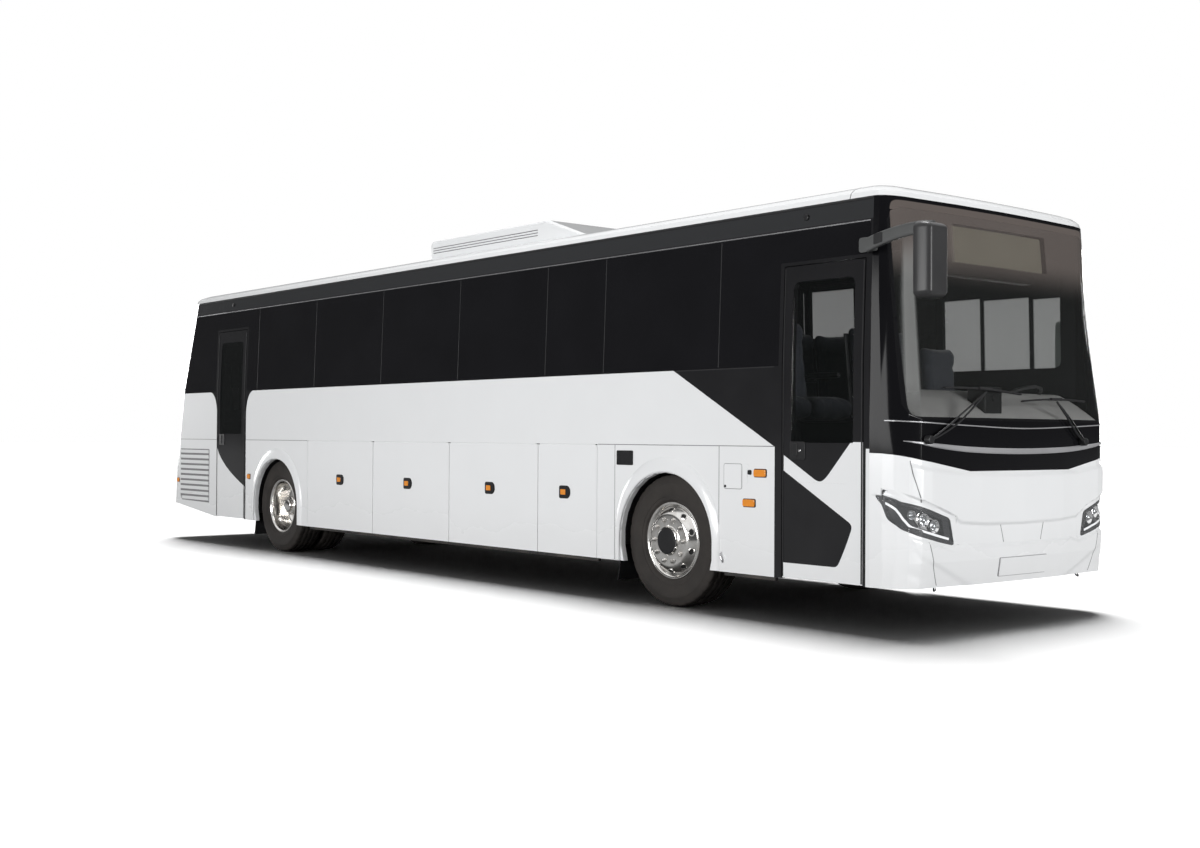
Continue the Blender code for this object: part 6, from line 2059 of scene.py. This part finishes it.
@dataclass
class RoofKit:
    """The air conditioning unit's grilles, the roof hatches, the front cap's seam and the cove's sensors."""

    rings: tuple[Span, ...] = (
        (0, 0), (0.012, 0.037), (0.045, 0.065), (0.11, 0.089), (0.24, 0.108), (0.50, 0.125), (0.90, 0.135)
    )
    hatches: tuple[float, ...] = (3.30, -3.30)

    def build(self, shop: Workshop) -> None:
        """Builds what stands on the roof."""
        f = shop.finishes
        bars = []
        for low, high in ((-0.8635, -0.855), (0.855, 0.8635)):
            bars += [block((-0.50, 1.25), (low, high), (z, z + 0.008), 0.001) for z in (3.180, 3.205, 3.230)]
        shop.piece("unit_louvres", bars, f.groove)
        guards = []
        for x in (-0.22, 0.40, 1.02):
            for y in (-0.42, 0.42):
                for r in (0.06, 0.11, 0.16, 0.205):
                    path = np.array([x, y, 3.318]) + np.pad(circle(r, 28), ((0, 0), (0, 1)))
                    guards.append(sweep(path, circle(0.004, 5), (0.0, 0.0, 1.0), closed=True))
                guards.append(block((x - 0.205, x + 0.205), (y - 0.005, y + 0.005), (3.316, 3.322), 0.001))
                guards.append(block((x - 0.005, x + 0.005), (y - 0.205, y + 0.205), (3.316, 3.322), 0.001))
        shop.piece("unit_fan_guards", guards, f.satin)
        lids = [block((x - 0.30, x + 0.30), (-0.28, 0.28), (3.098, 3.138), 0.012, 0.06) for x in self.hatches]
        shop.piece("roof_hatches", lids, f.paint)
        feet = [block((x - 0.32, x + 0.32), (-0.30, 0.30), (3.080, 3.112), 0.006, 0.06) for x in self.hatches]
        shop.piece("hatch_seals", feet, f.rubber_trim)
        ring = np.asarray(self.rings, float)
        edge = HALF_WIDTH - LEAN
        ys = np.concatenate([ring[:, 0] - edge, (edge - ring[::-1, 0])])
        zs = ROOF_EDGE_Z + np.concatenate([ring[:, 1], ring[::-1, 1]])
        seam = xyz(5.29, ys, zs)
        shop.piece("cap_seam", sweep(seam, circle(0.004, 6, 0.4), (0.0, 0.0, 1.0)), f.groove)
        eyes = [
            box_on_side((x - 0.024, x + 0.024), (2.870, 2.912), 0.018, Side.RIGHT, -0.002, 0.020, 0.008)
            for x in (4.90, -4.30)
        ]
        shop.piece("door_sensors", eyes, f.satin)


@dataclass
class TailTrim:
    """What stands on the tail: lamps, engine door grille and handle, blank plate, reflectors and seams."""

    lamp_y: Span = (0.984, 1.236)
    lamp_z: Span = (0.784, 1.396)

    def build(self, shop: Workshop) -> None:
        """Builds the tail."""
        f = shop.finishes
        for side in Side:
            self.lamp(shop, side)
        slats = [TAIL.strip([(-0.72, z), (0.0, z), (0.72, z)], 0.022, 0.012, 24) for z in np.linspace(0.73, 0.93, 6)]
        shop.piece("engine_door_grille", slats, f.satin, "engine_door")
        plate_edge = fine_outline(corners((-0.26, 0.26), (1.05, 1.19)), 0.01, 3)
        frame_edge = fine_outline(corners((-0.285, 0.285), (1.025, 1.215)), 0.015, 3)
        shop.piece(
            "rear_plate_frame", TAIL.panel(frame_edge, -0.002, 0.008, 0.003), f.satin, "engine_door"
        )
        shop.piece("rear_plate_blank", TAIL.panel(plate_edge, 0.005, 0.005, 0.001), f.paint, "engine_door")
        grip = TAIL.panel(fine_outline(corners((-0.13, 0.13), (0.985, 1.012)), 0.012, 3), -0.002, 0.024, 0.006)
        shop.piece("engine_door_handle", grip, f.satin, "engine_door")
        seams = [TAIL.strip([(-1.20, z), (0.0, z), (1.20, z)], 0.006, 0.0014, 60) for z in (0.62, 1.62)]
        shop.piece("tail_seams", seams, f.groove)
        spots = [
            TAIL.panel(fine_outline(corners((s * 0.80, s * 1.02), (0.50, 0.555)), 0.01, 3), -0.002, 0.010, 0.003)
            for s in (-1.0, 1.0)
        ]
        # Painted light: the red lens finish makes these reflectors glow faintly.
        shop.piece("rear_reflectors", spots, f.red)
        high = TAIL.panel(fine_outline(corners((-0.22, 0.22), (2.80, 2.835)), 0.01, 3), -0.002, 0.012, 0.004)
        shop.piece("high_stop_lamp", high, f.red)

    def lamp(self, shop: Workshop, side: Side) -> None:
        """A tail lamp: a dark backing and three raised lenses."""
        f, s = shop.finishes, side.value
        (y0, y1), (z0, z1) = self.lamp_y, self.lamp_z
        back = fine_outline(corners((s * y0, s * y1), (z0, z1)), 0.04, 4)
        shop.piece(
            f"tail_lamp_back_{side.word}", TAIL.panel(back, -0.030, 0.026, 0.003), f.lamp_black,
            replaces=[f"tail_lamp_{side.word}"]
        )
        lenses = (
            ("stop", f.red, 1.205, 1.380), ("turn", f.amber, 1.005, 1.185), ("reverse", f.clear_lens, 0.800, 0.985)
        )
        for word, finish, low, high in lenses:
            edge = fine_outline(corners((s * (y0 + 0.02), s * (y1 - 0.015)), (low, high)), 0.05, 5, 0.03)
            ring = [TAIL.panel(edge, -0.010, 0.016, 0.006)]
            shop.piece(f"{word}_lens_{side.word}", ring, finish)


@dataclass
class Chassis:
    """Mudflaps behind the wheels, and dark strips just under the skirt."""

    flap_x: tuple[float, ...] = (2.855, -3.745)

    def build(self, shop: Workshop) -> None:
        """Builds what hangs under the body."""
        for side in Side:
            s = side.value
            flaps, dark_strips = [], []
            for x in self.flap_x:
                ys = np.linspace(0.86, 1.20, 8) * s
                zs = np.linspace(0.16, 0.45, 7)
                bend = x - 0.04 * ((0.45 - zs) / 0.29) ** 2
                front = xyz(bend[:, None], ys, zs[:, None])
                flaps.append(self.sheet(front, np.array([-0.008, 0.0, 0.0])))
            # Near-black strips along the body side, just under the skirt.
            for span in ((-2.35, 2.62), (4.10, 4.62)):
                low, high = sorted((s * 1.215, s * 1.250))
                dark_strips.append(block(span, (low, high), (0.300, 0.345), 0.005))
            shop.piece(f"mudflaps_{side.word}", flaps, shop.finishes.rubber_trim)
            shop.piece(f"sill_rails_{side.word}", dark_strips, shop.finishes.chassis)

    def sheet(self, front: Array, thick: Array) -> Shape:
        """A thin plate: a grid of points, the same grid moved by its thickness, and a rim between them."""
        rows, across = front.shape[:2]
        near, far = grid(front), grid(front + thick)
        edge = np.concatenate(
            [
                np.arange(across), np.arange(1, rows) * across + across - 1,
                (rows - 1) * across + np.arange(across - 1)[::-1], np.arange(1, rows - 1)[::-1] * across
            ]
        )
        ahead = np.roll(edge, -1)
        rim = np.stack([edge, ahead, ahead + rows * across, edge + rows * across], axis=1)
        return Shape(
            np.concatenate([near.points, far.points]),
            near.faces + [tuple(i + rows * across for i in f) for f in far.faces] + [tuple(f) for f in rim.tolist()]
        )


@dataclass
class Cabin:
    """Padded seats on their plinths, and the driver's place."""

    first_x: float = 4.10
    pitch: float = 0.78
    rows: int = 12
    seat_y: Span = (0.27, 1.185)
    depth: float = 0.46
    cushion_z: Span = (1.47, 1.64)
    back_z: Span = (1.56, 2.28)
    recline: float = 0.08
    doorway: Span = (-5.14, -3.73)
    bench_x: float = -5.27
    voxel: float = 0.030
    cap: float = 0.024
    pressure: float = 4.0

    def build(self, shop: Workshop) -> None:
        """Builds the masters once and repeats them over every place."""
        f = shop.finishes
        width = (self.seat_y[1] - self.seat_y[0]) / 2
        cushion = self.puffed(
            block(
                (0.015, self.depth - 0.015), (-width / 2 + 0.012, width / 2 - 0.012),
                (0.018, self.cushion_z[1] - self.cushion_z[0] - 0.018), 0.03, 0.05
            ),
            self.voxel
        )
        tall = self.back_z[1] - self.back_z[0]
        back = self.puffed(
            block((-0.082, -0.018), (-width / 2 + 0.014, width / 2 - 0.014), (0.015, tall - 0.015), 0.028, 0.03),
            self.voxel
        )
        back = self.shaped_back(back, tall)
        places: dict[str, list[Span]] = {"right": [], "left": []}
        for side in Side:
            for x in self.first_x - self.pitch * np.arange(self.rows):
                if side is Side.LEFT or not self.doorway[0] < x < self.doorway[1]:
                    places[side.word] += [(x, side.value * (self.seat_y[0] + width * (i + 0.5))) for i in range(2)]
        places["rear"] = [(self.bench_x, y) for y in np.linspace(-0.948, 0.948, 5)]
        for k, (word, spots) in enumerate(places.items()):
            for name, master, z in (("cushions", cushion, self.cushion_z[0]), ("backs", back, self.back_z[0])):
                copies = [master.shifted((x, y, z)) for x, y in spots]
                made = shop.piece(
                    f"seat_{name}_{word}", copies, f.cloth, sharp=180.0,
                    replaces=["passenger_seats"] if k + (name == "backs") == 0 else []
                )
        self.frames(shop, places)
        self.driver(shop)

    def shaped_back(self, back: Shape, tall: float) -> Shape:
        """A back leaned and shaped: X falls with height, and side wings and a head roll swell forwards."""
        p = back.points.copy()
        share = np.clip(p[:, 2] / tall, 0.0, 1.0)
        front = np.clip((p[:, 0] + 0.05) / 0.04, 0.0, 1.0)
        wing = 0.020 * np.clip((np.abs(p[:, 1]) - 0.12) / 0.08, 0.0, 1.0) * np.sin(np.pi * share)
        roll = 0.020 * np.exp(-(((share - 0.88) / 0.09) ** 2)) - 0.012 * np.exp(-(((share - 0.74) / 0.03) ** 2))
        p[:, 0] += -self.recline * share + front * (wing + roll)
        p[:, 1] *= 1.0 - 0.10 * np.clip((share - 0.80) / 0.20, 0.0, 1.0)
        return Shape(p, back.faces)

    def puffed(self, start: Shape, voxel: float) -> Shape:
        """A cushion blown up by a cloth simulation, each point's move capped, then subdivided once."""
        mesh = bpy.data.meshes.new("pad")
        mesh.from_pydata(start.points.tolist(), [], start.faces)
        pad = bpy.data.objects.new("pad", mesh)
        bpy.context.scene.collection.objects.link(pad)
        remesh = pad.modifiers.new("voxels", "REMESH")
        remesh.mode, remesh.voxel_size = "VOXEL", voxel
        rest = self.taken(pad)
        pad.modifiers.clear()
        mesh.clear_geometry()
        mesh.from_pydata(rest.points.tolist(), [], rest.faces)
        cloth = pad.modifiers.new("air", "CLOTH")
        cloth.settings.use_pressure = True
        cloth.settings.uniform_pressure_force = self.pressure
        cloth.settings.effector_weights.gravity = 0.0
        for number in range(1, 21):
            bpy.context.scene.frame_set(number)
        blown = self.taken(pad).points
        move = blown - rest.points
        far = np.linalg.norm(move, axis=1, keepdims=True)
        mesh.vertices.foreach_set(
            "co", (rest.points + move * np.minimum(1.0, self.cap / np.maximum(far, 1e-9))).ravel()
        )
        pad.modifiers.clear()
        bpy.context.scene.frame_set(1)
        smooth = pad.modifiers.new("smooth", "SUBSURF")
        smooth.levels = smooth.render_levels = 1
        done = self.taken(pad)
        bpy.data.objects.remove(pad)
        return done

    def taken(self, obj: bpy.types.Object) -> Shape:
        """The evaluated mesh of an object as a shape."""
        mesh = bpy.data.meshes.new_from_object(obj.evaluated_get(bpy.context.evaluated_depsgraph_get()))
        points = np.empty(len(mesh.vertices) * 3)
        mesh.vertices.foreach_get("co", points)
        faces = [tuple(face.vertices) for face in mesh.polygons]
        bpy.data.meshes.remove(mesh)
        return Shape(points.reshape(-1, 3), faces)

    def frames(self, shop: Workshop, places: Mapping[str, list[Span]]) -> None:
        """Plinths along the aisle, and a shell and an armrest for each pair."""
        plinths, shells, rests = [], [], []
        for side in Side:
            s = side.value
            spans = ((-5.27, 4.33),) if side is Side.LEFT else ((-5.27, -4.71), (-3.88, 4.33))
            low, high = sorted((s * 0.66, s * 0.76))
            plinths += [block(span, (low, high), (1.2005, 1.49), 0.012) for span in spans]
            for x, _ in places[side.word][::2]:
                inner = s * (self.seat_y[0] + 0.012)
                low, high = sorted((inner, inner + s * 0.045))
                rests.append(block((x - 0.02, x + 0.30), (low, high), (1.80, 1.845), 0.014))
                low, high = sorted((s * (self.seat_y[0] + 0.01), s * (self.seat_y[1] - 0.01)))
                hull = block((x - 0.100, x - 0.082), (low, high), (1.50, 2.20), 0.008)
                p = hull.points.copy()
                p[:, 0] -= self.recline * (p[:, 2] - 1.56) / 0.72
                shells.append(Shape(p, hull.faces))
        plinths.append(block((-5.33, -4.90), (-1.17, 1.17), (1.2005, 1.48), 0.02))
        shop.piece("seat_plinths", plinths, shop.finishes.plastic)
        shop.piece("seat_shells", shells, shop.finishes.plastic)
        shop.piece("seat_armrests", rests, shop.finishes.satin)

    def driver(self, shop: Workshop) -> None:
        """The driver's sprung seat with a tall back, on a bellows base."""
        f = shop.finishes
        pad = self.puffed(block((4.765, 5.165), (0.385, 0.815), (1.285, 1.385), 0.03, 0.05), self.voxel)
        tall = 0.72
        back = self.puffed(block((-0.085, -0.015), (-0.205, 0.205), (0.015, tall - 0.015), 0.028, 0.03), self.voxel)
        back = self.shaped_back(back, tall).shifted((4.745, 0.60, 1.37))
        for name, shape, replaced in (("driver_cushion", pad, ["driver_seat"]), ("driver_back", back, [])):
            shop.piece(name, shape, f.cloth, sharp=180.0, replaces=replaced)
        t = np.linspace(0.0, 1.0, 13)
        folds = np.stack([0.150 - 0.022 * (np.arange(13) % 2), 0.925 + 0.33 * t], axis=1)
        ring = round_box_outline((-1.0, 1.0), (-1.0, 1.0), 0.35, 4)
        bellows = xyz(ring[:, 0] * folds[:, :1], ring[:, 1] * folds[:, :1], folds[:, 1:])
        base = grid(bellows + np.array([4.96, 0.60, 0.0]), wrap_v=True, caps=True)
        shop.piece(
            "driver_seat_base", [base, block((4.75, 5.17), (0.37, 0.83), (1.250, 1.292), 0.012, 0.04)], f.plastic,
        )


def main() -> None:
    """Builds the coach's looks in order."""
    logging.basicConfig(level=logging.INFO, format="%(message)s")
    bpy.context.scene.view_settings.view_transform = "Standard"
    Studio().build()
    shop = Workshop(Finishes())
    for assembly in (
        Shell(), SideTrim(), Doors(), NoseTrim(), Mirrors(), Wheels(), TailTrim(), RoofKit(), Chassis(), Cabin()
    ):
        assembly.build(shop)
        log.info("%s done", type(assembly).__name__)


if __name__ == "__main__":
    main()
